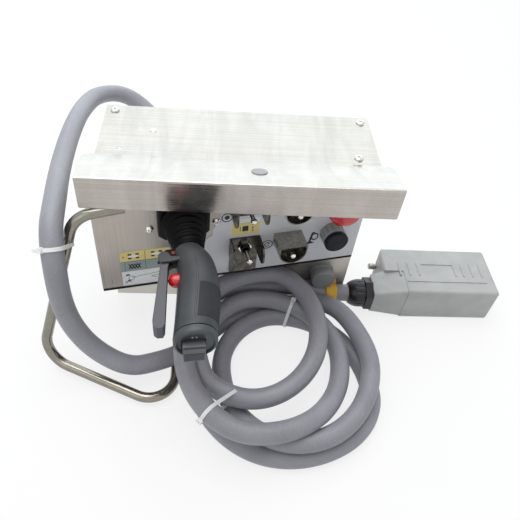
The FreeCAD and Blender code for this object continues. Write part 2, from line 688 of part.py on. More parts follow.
node("estop_mushroom", turned([
    ("5.1", "18"), ("stop_dia / 2 - 1", "18"), ("stop_dia / 2", "19.5"), ("stop_dia / 2", "23.5"),
    ("stop_dia / 2 - 1.4", "29"), ("stop_dia / 2 - 5.6", "33.4"), ("stop_dia / 2 - 12", "35.6"), ("0", "36.2"),
    ("0", "26.4"), ("5.1", "26.4"),
]), stop_spot)
device_nut = cut(hexagon("29", "-panel_thick - 3.5", "3.5"), bar("11", "20", V(0, 0, -15), Z_AXIS))
group("device_nuts", device_nut, [button_spot, stop_spot])
contact_block = box("-15", "-15", "-52", "30", "30", "30")
group("contact_blocks", contact_block, [button_spot, stop_spot])

# Blanking plug in the lower front wall and the cable gland in the rear wall.
plug_place = Place(V(value("plug_x"), value("-body_depth / 2"), value("plug_z")), upright)
node("blanking_plug", turned([
    ("0", "-10"), ("10.9", "-10"), ("10.9", "0"), ("plug_dia / 2", "0"), ("plug_dia / 2", "13.5"),
    ("plug_dia / 2 - 1.2", "16.6"), ("plug_dia / 2 - 4", "18"), ("0", "18"),
]), plug_place)
plug_nut = cut(hexagon("28", "-wall_thick - 4", "4"), bar("11", "20", V(0, 0, -15), Z_AXIS))
node("blanking_nut", plug_nut, plug_place)
gland_place = Place(V(value("gland_x"), value("body_depth / 2"), value("gland_z")), Spin(X_AXIS, -90))
gland_dome = turned([
    ("0", "-10"), ("15.8", "-10"), ("15.8", "0"), ("18", "0"), ("18", "9"), ("17.4", "10"), ("17.4", "16"),
    ("16", "23"), ("14", "27"), ("13", "28"), ("0", "28"),
])
node("rear_gland", fuse(gland_dome, hexagon("38", "0", "8")), gland_place)
gland_nut = cut(hexagon("40", "-wall_thick - 5", "5"), bar("15.9", "20", V(0, 0, -12), Z_AXIS))
node("rear_gland_nut", gland_nut, gland_place)

# Control board on the rear wall.
node("circuit_board", box("-40", "26", "62", "110", "1.6", "80"))
spacer = bar("3", "body_depth / 2 - wall_thick - 27.6", V(), Z_AXIS)
spacer_places = [Place(V(x, 27.6, z), Spin(X_AXIS, -90)) for x in (-34, 64) for z in (68, 136)]
group("board_spacers", spacer, spacer_places)
strip = cut(box("0", "0", "0", "90", "14", "16"), *[box(6 + 10 * i, "-1", "9", "6", "7", "10") for i in range(8)])
node("terminal_strip", strip, Place(V(-30, 12, 80), Spin()))

# Connector: hood, cable entry, contact insert, locking pegs and gland.
hood_main = rounded(
    box("nose_join", "0", "0", "hood_length - nose_join", "hood_depth", "hood_height"),
    "4",
    lambda edge: edge.CenterOfMass.x > value("nose_join") + 1
    and (edge.CenterOfMass.y < value("hood_depth") - 1 or runs_along(edge, Z_AXIS)),
)
hood_rear = rounded(
    box("0", "nose_rear", "0", "nose_join + 4", "hood_depth - nose_rear", "hood_height"),
    "4",
    lambda edge: edge.CenterOfMass.x < 1,
)
entry_local = value("entry_y - hood_front")
mid = value("hood_height / 2")
nose_plan = new_body()
plan_line = [
    ("-18", "entry_y - hood_front - 18"), ("nose_join + 3", "0.6"), ("nose_join + 3", "nose_rear + 4"),
    ("6", "nose_rear + 4"), ("-18", "entry_y - hood_front + 18"),
]
pad(nose_plan, "XY_Plane", [plan_line], "hood_height")
nose_side = new_body()
side_line = [
    ("-18", "hood_height / 2 - 18"), ("nose_join + 3", "0.6"), ("nose_join + 3", "hood_height - 0.6"),
    ("-18", "hood_height / 2 + 18"),
]
pad(nose_side, "XZ_Plane", [side_line], "4 * hood_depth", both=True)
nose = doc.addObject("Part::Common", "Nose")
nose.Base = nose_plan
nose.Tool = nose_side
nose = rounded(nose, "4", lambda edge: -17 < edge.CenterOfMass.x < value("nose_join") and edge.Length > 20
               and edge.CenterOfMass.y < entry_local)
rib_foot = "hood_height - 3"
ribs = [
    box("nose_join + 2", "18.8", rib_foot, "hood_length - nose_join - 15", "2.2", "4"),
    box("53", "49.8", rib_foot, "46", "2.2", "4"),
]
for x in (20, 33, 46, 97, 108, 121, 134):
    ribs.append(box(x, "30", rib_foot, "2.2", "22", "4"))
hood_mass = fuse(hood_main, hood_rear, nose, *ribs)
hood_tools = (
    box("10", "10", "9", "hood_length - 20", "hood_depth", "hood_height - 18"),
    bar("12", "40", V(-25, entry_local, mid), X_AXIS),
)
hood_place = Place(V(value("hood_left"), value("hood_front"), 0), Spin())
node("connector_hood", cut(hood_mass, *hood_tools), hood_place)
insert = new_body()
insert_face = rectangle("10.3", "9.3", "hood_length - 10.3", "hood_height - 9.3")
pad(insert, "XZ_Plane", [insert_face], "32", "14 - hood_depth")
sockets = []
for i in range(12):
    for shift in (-6, 6):
        sockets.append((f"hood_length / 2 + {(i - 5.5) * 8}", f"hood_height / 2 + {shift}", "2"))
insert_screw_spots = [(x, z) for x in ("17", "hood_length - 17") for z in ("15.5", "hood_height - 15.5")]
sockets += [(x, z, "1.7") for x, z in insert_screw_spots]
pocket(insert, "XZ_Plane", sockets, "8", "19 - hood_depth")
node("connector_insert", insert, hood_place)
insert_screw = turned([
    ("0", "-4.6"), ("1.6", "-4.6"), ("1.6", "0"), ("3.2", "0"), ("3", "1.6"), ("1", "2"), ("0", "2"),
])
mouth_spin = Spin(X_AXIS, -90)
insert_screw_places = []
for x, z in insert_screw_spots:
    spot = V(value(x), value("hood_depth - 14"), value(z))
    insert_screw_places.append(hood_place * Place(spot, mouth_spin))
group("insert_screws", insert_screw, insert_screw_places)
peg = turned([
    ("0", "0"), ("3.6", "0"), ("3.6", "3"), ("4.4", "3"), ("4.4", "10"), ("3.6", "11"), ("0", "11"),
])
peg_row = value("hood_depth - 8")
peg_left = hood_place * Place(V(0, peg_row, mid), Spin(Z_AXIS, V(-1, 0, 0)))
peg_right = hood_place * Place(V(value("hood_length"), peg_row, mid), Spin(Z_AXIS, X_AXIS))
group("connector_pegs", peg, [peg_left, peg_right])
entry_place = hood_place * Place(V(-18, entry_local, mid), Spin(Z_AXIS, V(-1, 0, 0)))
gland_body = turned([
    ("0", "-9"), ("11.8", "-9"), ("11.8", "0"), ("17", "0"), ("17", "9.8"), ("13.8", "9.8"), ("13.8", "20"),
    ("0", "20"),
])
node("connector_gland", fuse(gland_body, hexagon("38", "0", "9.8")), entry_place)
node("connector_gland_nut", turned([
    ("14.1", "10.1"), ("18.6", "10.1"), ("18.6", "18"), ("17.2", "25"), ("14.6", "30"), ("13.4", "31"),
    ("0", "31"), ("0", "20.4"), ("14.1", "20.4"),
]), entry_place)

# Control cable: lead from the rear gland over the guard rod, coil, and tail.
gland_mouth = gland_place.multVec(V(0, 0, 28))
entry_mouth = entry_place.multVec(V(0, 0, 31))
lead_route = [
    gland_mouth,
    gland_mouth + V(0, 50, 0),
    V(-98, 168, 110),
    V(-124, 206, 126),
    V(-161, 218, 148),
    V(-194, 185, 164),
    V(-203, 120, 179),
    V(-204, 52, 187),
    V(-201, -20, 191),
    V(-194, -80, 195),
    V(-186, -133, 205),
    V(-180, -160, 178),
    V(-181, -164, 134),
    V(-175, -165, 92),
    V(-155, -168, 52),
    V(-120, -174, 28),
    V(-84, -164, 33),
    V(-56, -143, 33),
    V(-34, -118, 20),
]
tube("cable_lead", lead_route, "cable_dia")
coil_spot = V(value("coil_x"), value("coil_y"), 0)
coil_solid = bar("coil_dia / 2", "coil_height", coil_spot, Z_AXIS)
coil_ring = cut(coil_solid, bar("coil_bore / 2", "100", coil_spot - V(0, 0, 10), Z_AXIS))
node("cable_coil", rounded(coil_ring, "10", lambda edge: isinstance(edge.Curve, Part.Circle)))
tail_route = [V(64, -62, 33), entry_mouth - V(45, 0, 0), entry_mouth]
tube("cable_tail", tail_route, "cable_dia")

doc.recompute()
for item in doc.Objects:
    if "Invalid" in item.State or "Error" in item.State:
        raise RuntimeError(f"{item.Label} is in the state {item.State}")
os.makedirs("parts", exist_ok=True)
for item in nodes:
    shape = item.Shape
    if shape.isNull() or not shape.isValid():
        raise RuntimeError(f"{item.Label} has no valid shape")
    shape.exportStep(f"parts/{item.Label}.step")
print(len(nodes), "nodes written")
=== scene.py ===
import logging
import math
from dataclasses import dataclass, field
from enum import Enum

import bmesh
import bpy
import numpy as np
from mathutils import Matrix, Vector
from numpy.typing import NDArray


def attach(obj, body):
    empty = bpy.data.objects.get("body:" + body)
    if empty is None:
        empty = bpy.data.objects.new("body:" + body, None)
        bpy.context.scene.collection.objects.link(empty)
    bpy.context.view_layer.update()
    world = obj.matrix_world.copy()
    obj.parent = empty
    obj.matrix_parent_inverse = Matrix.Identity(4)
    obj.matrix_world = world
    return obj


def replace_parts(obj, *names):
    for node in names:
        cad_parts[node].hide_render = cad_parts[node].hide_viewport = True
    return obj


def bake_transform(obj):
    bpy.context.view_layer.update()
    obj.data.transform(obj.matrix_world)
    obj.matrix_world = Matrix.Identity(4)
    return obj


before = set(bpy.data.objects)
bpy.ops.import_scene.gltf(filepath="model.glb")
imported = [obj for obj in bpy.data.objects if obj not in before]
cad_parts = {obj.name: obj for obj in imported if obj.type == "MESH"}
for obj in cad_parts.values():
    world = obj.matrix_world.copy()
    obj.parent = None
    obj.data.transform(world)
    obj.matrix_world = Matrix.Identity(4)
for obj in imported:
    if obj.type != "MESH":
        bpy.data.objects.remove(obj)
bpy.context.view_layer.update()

Array = NDArray[np.float64]
Colour = tuple[float, float, float]
Point = tuple[float, float, float]
Spot = tuple[float, float]
Piece = bpy.types.Object
Socket = bpy.types.NodeSocket
MM = 0.001
FULL_TURN = 2 * np.pi
WHITE = (1.0, 1.0, 1.0, 1.0)
log = logging.getLogger("control_box")


def srgb(red: int, green: int, blue: int) -> Colour:
    """Linear colour of a display colour: each channel over 255, to the power 2.2."""
    return tuple((channel / 255) ** 2.2 for channel in (red, green, blue))


# Finishes


class Brushing(Enum):
    """Direction a sheet was brushed in, as noise cells per metre along X, Y and Z."""

    ACROSS = (5.0, 900.0, 900.0)
    UPRIGHT = (900.0, 900.0, 5.0)


class NodeSheet:
    """Node tree of a material or a world, built with short calls."""

    NOISE_MIDDLE = (0.3, 0.7)
    RAMP_STOPS = (0.32, 0.68)

    def __init__(self, owner: bpy.types.Material | bpy.types.World) -> None:
        """Switches the owner's nodes on and finds its principled shader, where it has one.

        Args:
            owner: Material or world.
        """
        owner.use_nodes = True
        self.tree = owner.node_tree
        self.shader = self.tree.nodes.get("Principled BSDF")

    def put(self, socket: Socket, value: object) -> None:
        """Links a socket to another one, or sets its value.

        Args:
            socket: Input to fill.
            value: Socket or plain value.
        """
        if isinstance(value, bpy.types.NodeSocket):
            self.tree.links.new(value, socket)
        else:
            socket.default_value = value

    def feed(self, node: bpy.types.Node, **inputs: object) -> bpy.types.Node:
        """Sets or links a node's inputs.

        Args:
            node: Node to feed.
            **inputs: Values or sockets by input name, with _ for a space.

        Returns:
            The same node.
        """
        for name, value in inputs.items():
            self.put(node.inputs[name.replace("_", " ")], value)
        return node

    def add(self, kind: str, **inputs: object) -> bpy.types.Node:
        """Adds a node of a kind, named without its prefix, and feeds it."""
        return self.feed(self.tree.nodes.new("ShaderNode" + kind), **inputs)

    def combined(self, operation: str, first: object, second: object) -> Socket:
        """Result of a sum, product or the like of two numbers.

        Args:
            operation: Name of the math node's operation.
            first: Socket or number.
            second: Socket or number.

        Returns:
            Number socket.
        """
        node = self.add("Math")
        node.operation = operation
        self.put(node.inputs[0], first)
        self.put(node.inputs[1], second)
        return node.outputs[0]

    def mixed(self, factor: Socket, first: bpy.types.Node, second: bpy.types.Node) -> Socket:
        """Mix of two shaders.

        Args:
            factor: Share of the second shader.
            first: First shader node.
            second: Second shader node.

        Returns:
            Shader socket.
        """
        mix = self.add("MixShader", Fac=factor)
        self.put(mix.inputs[1], first.outputs[0])
        self.put(mix.inputs[2], second.outputs[0])
        return mix.outputs[0]

    def seen(self) -> Socket:
        """Factor of 1 for rays from the camera, from gloss and through glass.

        Returns:
            Number socket.
        """
        rays = self.add("LightPath").outputs
        most = self.combined("MAXIMUM", rays["Is Camera Ray"], rays["Is Glossy Ray"])
        return self.combined("MAXIMUM", most, rays["Is Transmission Ray"])

    def cells(self, scale: Point | float, turn: Point = (0.0, 0.0, 0.0)) -> Socket:
        """Object coordinates, turned and then scaled to cells per metre.

        Args:
            scale: Cells per metre, along each axis or along all of them.
            turn: Turn about each axis, in radians.

        Returns:
            Vector socket.
        """
        sizes = scale if isinstance(scale, tuple) else (scale, scale, scale)
        place = self.add("TexCoord").outputs["Object"]
        return self.add("Mapping", Vector=place, Rotation=turn, Scale=sizes).outputs["Vector"]

    def noise(self, scale: Point | float, detail: float, twist: float = 0.0) -> Socket:
        """Noise between 0 and 1 with the given cells per metre.

        Args:
            scale: Cells per metre, along each axis or along all of them.
            detail: Octaves of finer noise.
            twist: Distortion of the pattern.

        Returns:
            Factor socket.
        """
        node = self.add("TexNoise", Vector=self.cells(scale), Scale=1.0, Detail=detail,
                        Distortion=twist)
        return node.outputs["Fac"]

    def between(self, factor: Socket, low: float, high: float) -> Socket:
        """Spreads the middle of a noise factor from low to high.

        Args:
            factor: Noise factor.
            low: Value at the lower end of the middle.
            high: Value at its upper end.

        Returns:
            Number socket.
        """
        first, last = self.NOISE_MIDDLE
        node = self.add("MapRange", Value=factor, From_Min=first, From_Max=last, To_Min=low,
                        To_Max=high)
        return node.outputs["Result"]

    def shades(self, factor: Socket, dark: Colour, light: Colour) -> Socket:
        """Colour that runs from dark to light over the middle of a noise factor.

        Args:
            factor: Noise factor.
            dark: First colour.
            light: Last colour.

        Returns:
            Colour socket.
        """
        ramp = self.add("ValToRGB", Fac=factor)
        for stop, place, colour in zip(ramp.color_ramp.elements, self.RAMP_STOPS, (dark, light)):
            stop.position = place
            stop.color = (*colour, 1.0)
        return ramp.outputs["Color"]

    def relief(self, height: Socket, strength: float, depth: float) -> Socket:
        """Surface normal with bumps of a depth in metres."""
        return self.add("Bump", Height=height, Strength=strength, Distance=depth).outputs["Normal"]

    def tinted(self, base: Socket, factor: Socket, colour: Colour) -> Socket:
        """Colour that goes from a base to another colour with a factor."""
        node = self.add("MixRGB", Fac=factor, Color1=base, Color2=(*colour, 1.0))
        return node.outputs["Color"]


@dataclass(frozen=True)
class Finish:
    """Named surface finish, whose material is made at its first use."""

    name: str
    tint: Colour
    roughness: float

    def shade(self, factor: float) -> Colour:
        """The tint made darker or lighter by a factor."""
        return tuple(min(channel * factor, 1.0) for channel in self.tint)

    def tones(self, sheet: NodeSheet, factor: Socket, dark: float, light: float) -> Socket:
        """Tint from a darker to a lighter shade over a noise factor."""
        return sheet.shades(factor, self.shade(dark), self.shade(light))

    def wear(self, sheet: NodeSheet, factor: Socket, first: float, last: float) -> Socket:
        """Roughness that a noise factor shifts from a first to a last offset."""
        return sheet.between(factor, self.roughness + first, self.roughness + last)

    def material(self) -> bpy.types.Material:
        """The finish's material, made where it isn't there yet.

        Returns:
            The material.
        """
        known = bpy.data.materials.get(self.name)
        if known:
            return known
        material = bpy.data.materials.new(self.name)
        self.compose(NodeSheet(material))
        return material

    def compose(self, sheet: NodeSheet) -> None:
        """Builds the finish's nodes on a sheet."""
        raise NotImplementedError


@dataclass(frozen=True)
class BrushedSteel(Finish):
    """Stainless sheet with brush lines, handling marks and slow bands of painted sheen, darkened into
    its colour.
    """

    brushing: Brushing = Brushing.ACROSS
    painted_sheen_strength: float = 0.10
    sheen: Point = (6.0, 26.0, 26.0)

    MARK_CELLS = 60.0
    PAINTED_SHEEN_GAIN = 2.4
    PAINTED_SHEEN_SHADE = 0.62

    def compose(self, sheet: NodeSheet) -> None:
        """Fine stretched noise gives the lines, slow noise the bands of painted sheen and the marks.

        Args:
            sheet: Node tree to build on.
        """
        lines = sheet.noise(self.brushing.value, 6.0)
        slow = sheet.noise(self.sheen, 2.0, 1.2)
        marks = sheet.noise(self.MARK_CELLS, 5.0)
        # Painted sheen: slow bands darken the tint and stand in for the brushed steel's changing
        # reflection.
        painted_sheen_band = sheet.between(slow, 0.0, self.painted_sheen_strength * self.PAINTED_SHEEN_GAIN)
        colour = self.tones(sheet, lines, 0.90, 1.08)
        colour = sheet.tinted(colour, painted_sheen_band, self.shade(self.PAINTED_SHEEN_SHADE))
        rough = sheet.combined("ADD", sheet.between(lines, -0.05, 0.05), self.roughness)
        rough = sheet.combined("ADD", rough, sheet.between(marks, -0.03, 0.07))
        sheet.feed(sheet.shader, Metallic=1.0, Base_Color=colour, Roughness=rough,
                   Normal=sheet.relief(lines, 0.10, 0.0002))


@dataclass(frozen=True)
class Plating(Finish):
    """Nickel or zinc plated metal with stains and fine pits."""

    stain: float = 0.25

    STAIN_CELLS = 130.0
    PIT_CELLS = 1600.0

    def compose(self, sheet: NodeSheet) -> None:
        """Coarse noise stains the tint, fine noise pits the surface.

        Args:
            sheet: Node tree to build on.
        """
        stains = sheet.noise(self.STAIN_CELLS, 6.0, 0.4)
        pits = sheet.noise(self.PIT_CELLS, 3.0)
        colour = self.tones(sheet, stains, 1.0 - self.stain, 1.0 + self.stain / 3)
        sheet.feed(sheet.shader, Metallic=1.0, Base_Color=colour,
                   Roughness=self.wear(sheet, stains, 0.08, -0.06),
                   Normal=sheet.relief(pits, 0.06, 0.0002))


@dataclass(frozen=True)
class Moulding(Finish):
    """Moulded plastic or rubber with a spark grain and rubbed patches."""

    cell: float = 0.0007
    depth: float = 0.00012
    mottle: float = 0.16
    coat: float = 0.0
    gloss: float = 0.5

    RUB_CELLS = 45.0
    GRAIN_SHADE = 0.6
    COAT_ROUGHNESS = 0.12

    def compose(self, sheet: NodeSheet) -> None:
        """Cells a fraction of a millimetre wide give the grain, slow noise the rubbed patches.

        Args:
            sheet: Node tree to build on.
        """
        grain = sheet.noise(1.0 / self.cell, 3.0)
        rubbed = sheet.noise(self.RUB_CELLS, 4.0, 0.3)
        colour = self.tones(sheet, rubbed, 1.0 - self.mottle, 1.0 + self.mottle)
        colour = sheet.tinted(colour, sheet.between(grain, 0.0, 0.22), self.shade(self.GRAIN_SHADE))
        sheet.feed(sheet.shader, Base_Color=colour, Roughness=self.wear(sheet, rubbed, 0.06, -0.07),
                   Coat_Weight=self.coat, Coat_Roughness=self.COAT_ROUGHNESS,
                   Specular_IOR_Level=self.gloss, Normal=sheet.relief(grain, 0.35, self.depth))


@dataclass(frozen=True)
class Jacket(Finish):
    """Cable jacket of soft grey compound with scuffs and dust."""

    SLOW_CELLS = 16.0
    SCUFF_CELLS = (320.0, 90.0, 320.0)
    GRAIN_CELLS = 1500.0
    SCUFF_SHADE = 1.32

    def compose(self, sheet: NodeSheet) -> None:
        """Slow noise shifts the grey, stretched noise draws scuffs, fine noise is the grain.

        Args:
            sheet: Node tree to build on.
        """
        slow = sheet.noise(self.SLOW_CELLS, 3.0, 0.5)
        scuffs = sheet.noise(self.SCUFF_CELLS, 6.0, 0.8)
        grain = sheet.noise(self.GRAIN_CELLS, 2.0)
        scuffed = sheet.between(scuffs, -0.30, 0.30)
        colour = self.tones(sheet, slow, 0.90, 1.08)
        colour = sheet.tinted(colour, scuffed, self.shade(self.SCUFF_SHADE))
        sheet.feed(sheet.shader, Base_Color=colour, Roughness=self.wear(sheet, scuffs, -0.05, 0.09),
                   Normal=sheet.relief(grain, 0.18, 0.0002))


@dataclass(frozen=True)
class Film(Finish):
    """Printed label film with a fine texture and faint dirt."""

    dirt: float = 0.10

    WEAVE_CELLS = 2200.0
    DIRT_CELLS = 38.0

    def compose(self, sheet: NodeSheet) -> None:
        """Fine cells texture the film and slow noise leaves dirt on it.

        Args:
            sheet: Node tree to build on.
        """
        weave = sheet.noise(self.WEAVE_CELLS, 2.0)
        slow = sheet.noise(self.DIRT_CELLS, 5.0, 0.4)
        colour = self.tones(sheet, slow, 1.0 - self.dirt, 1.0 + self.dirt / 2)
        sheet.feed(sheet.shader, Base_Color=colour, Roughness=self.wear(sheet, slow, 0.08, -0.05),
                   Normal=sheet.relief(weave, 0.12, 0.0001))


@dataclass(frozen=True)
class Laminate(Finish):
    """Green circuit board with paler tracks."""

    TRACK_CELLS = 180.0
    SPECK_CELLS = 900.0

    def compose(self, sheet: NodeSheet) -> None:
        """Bricks 3 mm by 1.5 mm leave narrow lines, which are the tracks.

        Args:
            sheet: Node tree to build on.
        """
        place = sheet.cells(self.TRACK_CELLS, (math.pi / 2, 0.0, 0.0))
        dark, light, track = ((*self.shade(factor), 1.0) for factor in (0.9, 1.1, 1.9))
        tracks = sheet.add("TexBrick", Vector=place, Scale=1.0, Color1=dark, Color2=light,
                           Mortar=track, Mortar_Size=0.035)
        speck = sheet.noise(self.SPECK_CELLS, 3.0)
        sheet.feed(sheet.shader, Base_Color=tracks.outputs["Color"],
                   Roughness=sheet.between(speck, 0.5, 0.35))


# The fifth value of each brushed steel is the strength of its painted sheen bands.
STEEL_PLATE = BrushedSteel("steel_plate", srgb(183, 177, 171), 0.22, Brushing.ACROSS, 0.16,
                           (46.0, 9.0, 9.0))
STEEL_PANEL = BrushedSteel("steel_panel", srgb(183, 176, 168), 0.34, Brushing.UPRIGHT, 0.12,
                           (26.0, 26.0, 6.0))
STEEL_BODY = BrushedSteel("steel_body", srgb(202, 198, 192), 0.42, Brushing.ACROSS, 0.12)
NICKEL = Plating("nickel_plate", srgb(226, 224, 220), 0.20)
GUARD_STEEL = Plating("guard_steel", srgb(164, 162, 154), 0.26, 0.16)
ROD_STEEL = Plating("rod_steel", srgb(140, 136, 127), 0.20, 0.08)
PIN_BLACK = Plating("pin_black", srgb(52, 52, 52), 0.35, 0.30)
DARK_ZINC = Plating("dark_zinc", srgb(92, 89, 82), 0.27, 0.45)
OVERLAY_FILM = Film("overlay_film", srgb(218, 219, 223), 0.48, 0.06)
CHARCOAL = Moulding("charcoal_grip", srgb(62, 65, 67), 0.46, gloss=0.42)
CHARCOAL_CAP = Moulding("charcoal_cap", srgb(68, 73, 75), 0.44, gloss=0.42)
TRIGGER_GREY = Moulding("trigger_grey", srgb(66, 69, 71), 0.50, gloss=0.42)
ROCKER_GREY = Moulding("rocker_grey_face", srgb(90, 91, 94), 0.45)
# Painted shade: dark grey for the thin plate on the rocker's lower half.
ROCKER_PAINTED_SHADE = Moulding("rocker_painted_shade", srgb(46, 47, 54), 0.45)
PAD_RUBBER = Moulding("pad_rubber", srgb(49, 51, 52), 0.66, 0.0011, gloss=0.3)
BOOT_RUBBER = Moulding("boot_rubber_skin", srgb(11, 11, 13), 0.50, 0.0009, gloss=0.11)
BLACK_PLASTIC = Moulding("black_plastic_satin", srgb(14, 14, 16), 0.42, gloss=0.22)
# Painted shadow: black for the strip under the console panel's lower edge.
PAINTED_SHADOW_BLACK = Moulding("painted_shadow_black", srgb(22, 22, 24), 0.60, gloss=0.2)
GLAND_BLACK = Moulding("gland_black", srgb(32, 32, 37), 0.38, gloss=0.4)
CAP_BLACK = Moulding("button_black", srgb(22, 23, 32), 0.46, gloss=0.2)
STOP_RED = Moulding("stop_red", srgb(206, 34, 40), 0.32, 0.0011, 0.00005, 0.06, 0.35)
LAMP_RED = Moulding("lamp_red", srgb(150, 38, 40), 0.30, 0.0011, 0.00005, 0.06, 0.35)
PALE_DOT = Moulding("pale_dot", srgb(140, 142, 142), 0.40)
DEVICE_GREY = Moulding("device_grey_shell", srgb(166, 168, 168), 0.42)
PLUG_GREY = Moulding("plug_cap_grey", srgb(140, 142, 144), 0.40)
BOARD = Laminate("board_green_mask", srgb(24, 92, 52), 0.4)
STRIP = Moulding("strip_grey_shell", srgb(140, 146, 140), 0.5)
CABLE_GREY = Jacket("cable_grey_jacket", srgb(146, 146, 153), 0.46)
HOOD_PAINT = Moulding("hood_paint", srgb(178, 179, 178), 0.42, 0.0012, 0.0002, 0.07)
INSERT_CREAM = Moulding("insert_cream_shell", srgb(196, 190, 170), 0.5)
NYLON = Moulding("tie_nylon", srgb(250, 250, 249), 0.38, 0.0012, 0.00006, 0.02)
TAG_YELLOW = Film("tag_yellow", srgb(250, 188, 62), 0.5, 0.12)
LABEL_YELLOW = Film("label_yellow", srgb(232, 212, 138), 0.5, 0.08)
LABEL_GREY = Film("label_grey", srgb(150, 162, 162), 0.5, 0.08)
LABEL_WHITE = Film("label_white", srgb(240, 242, 242), 0.5, 0.06)
INK = Film("label_ink", srgb(30, 30, 30), 0.55, 0.2)
INK_RED = Film("label_red_ink", srgb(170, 40, 36), 0.55, 0.1)


def dress(finish: Finish, *nodes: str) -> None:
    """Gives CAD nodes a finish in each of their material slots.

    Args:
        finish: Finish to use.
        *nodes: Names of the nodes.
    """
    for node in nodes:
        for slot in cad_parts[node].material_slots:
            slot.material = finish.material()
        log.info("%s dressed in %s", node, finish.name)


# Surfaces


@dataclass(frozen=True)
class Seat:
    """Frame of three square axes that a piece is drawn in, in millimetres."""

    origin: Point
    right: Point = (1.0, 0.0, 0.0)
    up: Point = (0.0, 1.0, 0.0)
    out: Point = (0.0, 0.0, 1.0)

    def at(self, u: Array | float, v: Array | float, n: Array | float) -> Array:
        """Points at u to the right, v up and n out of the frame.

        Args:
            u: Distances to the right.
            v: Distances up.
            n: Distances out.

        Returns:
            Points in metres.
        """
        parts = np.broadcast_arrays(*(np.asarray(part, float) for part in (u, v, n)))
        axes = np.array([self.right, self.up, self.out], float)
        return (np.array(self.origin) + np.stack(parts, -1) @ axes) * MM

    def turned(self, profile: Array | tuple[Spot, ...], steps: int,
               flute: Array | None = None) -> Array:
        """A profile turned about the frame's out axis.

        Point (row, step) lies at the row's height, at the row's radius plus its
        flute, in the direction of the step's share of a full turn.

        Args:
            profile: Radius and height of each row.
            steps: Points round a turn.
            flute: Rows by steps added to the radius.

        Returns:
            Rows by steps of points.
        """
        radius, height = np.array(profile, float).T[..., None]
        angle = np.linspace(0.0, FULL_TURN, steps, endpoint=False)
        reach = radius + (0.0 if flute is None else flute)
        return self.at(reach * np.cos(angle), reach * np.sin(angle), height)

    def moved(self, u: float, v: float, n: float) -> "Seat":
        """The same frame with its origin moved along its own axes."""
        return Seat(tuple(self.at(u, v, n) / MM), self.right, self.up, self.out)


class Shell:
    """Surfaces gathered into one mesh."""

    def __init__(self) -> None:
        """Starts with no surface."""
        self.points: list[Array] = []
        self.faces: list[list[int]] = []
        self.count = 0

    def add(self, points: Array, faces: list[list[int]] | Array) -> "Shell":
        """Adds points and the faces between them.

        Args:
            points: Array of points, in metres.
            faces: Point indices of each face, counted from these points.

        Returns:
            The shell.
        """
        self.faces += (np.asarray(faces) + self.count).tolist()
        self.points.append(points.reshape(-1, 3))
        self.count += len(self.points[-1])
        return self

    def grid(self, points: Array, wrap_rows: bool, wrap_columns: bool) -> "Shell":
        """Adds a grid of points as quads, closed in either direction on request.

        Args:
            points: Rows by columns of points.
            wrap_rows: Joins the last row to the first.
            wrap_columns: Joins the last column to the first.

        Returns:
            The shell.
        """
        rows, columns = points.shape[:2]
        row, column = np.meshgrid(np.arange(rows - (not wrap_rows)),
                                  np.arange(columns - (not wrap_columns)), indexing="ij")
        down, right = (row + 1) % rows, (column + 1) % columns
        quads = np.stack([row * columns + column, row * columns + right, down * columns + right,
                          down * columns + column], -1)
        return self.add(points, quads.reshape(-1, 4))

    def tube(self, rows: Array) -> "Shell":
        """Adds rings of points as a tube with a flat face at each end.

        Args:
            rows: Rows by columns of points, each row a ring.

        Returns:
            The shell.
        """
        ring = [list(range(rows.shape[1]))]
        return self.grid(rows, False, True).add(rows[0], ring).add(rows[-1], ring)

    def plate(self, seat: Seat, outline: Array, low: float, high: float) -> "Shell":
        """Adds a closed plate: an outline in a frame, carried from a low to a high level.

        Args:
            seat: Frame of the plate.
            outline: Array of u and v.
            low: Level of one face.
            high: Level of the other face.

        Returns:
            The shell.
        """
        u, v = np.asarray(outline, float).T
        return self.tube(np.stack([seat.at(u, v, level) for level in (low, high)]))

    def piece(self, name: str, finish: Finish, body: str | None, slot: str | None = None,
              crease: float = 40.0) -> Piece:
        """Welds the surfaces, points their faces outwards and makes the object.

        Args:
            name: Name of the piece.
            finish: Its finish.
            body: Body it rides on, or None.
            slot: Not used.
            crease: Angle in degrees from which an edge stays sharp.

        Returns:
            The new object.
        """
        mesh = bpy.data.meshes.new(name)
        mesh.from_pydata(np.concatenate(self.points).tolist(), [], self.faces)
        knit = bmesh.new()
        knit.from_mesh(mesh)
        bmesh.ops.remove_doubles(knit, verts=knit.verts, dist=2e-6)
        bmesh.ops.dissolve_degenerate(knit, edges=knit.edges, dist=1e-6)
        bmesh.ops.recalc_face_normals(knit, faces=knit.faces)
        knit.to_mesh(mesh)
        knit.free()
        mesh.shade_smooth()
        mesh.set_sharp_from_angle(angle=math.radians(crease))
        mesh.materials.append(finish.material())
        piece = bpy.data.objects.new(name, mesh)
        bpy.context.scene.collection.objects.link(piece)
        if body:
            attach(piece, body)
        log.info("%s made with %d faces", name, len(mesh.polygons))
        return piece


def turned_to(yaw: float, origin: Point) -> Seat:
    """Upright frame that faces the front, turned by a yaw in degrees."""
    sine, cosine = math.sin(math.radians(yaw)), math.cos(math.radians(yaw))
    return Seat(origin, (cosine, sine, 0.0), (0.0, 0.0, 1.0), (sine, -cosine, 0.0))


STICK_SPOT = (94.0, 103.0)
PANEL = turned_to(12.5, (-152.0, -107.395, 88.0))
STICK = PANEL.moved(*STICK_SPOT, 0.0)
GRIP = turned_to(6.5, tuple(PANEL.at(*STICK_SPOT, 45.0) / MM))
GRIP_SIDE = Seat(GRIP.origin, GRIP.right, GRIP.out, GRIP.up)


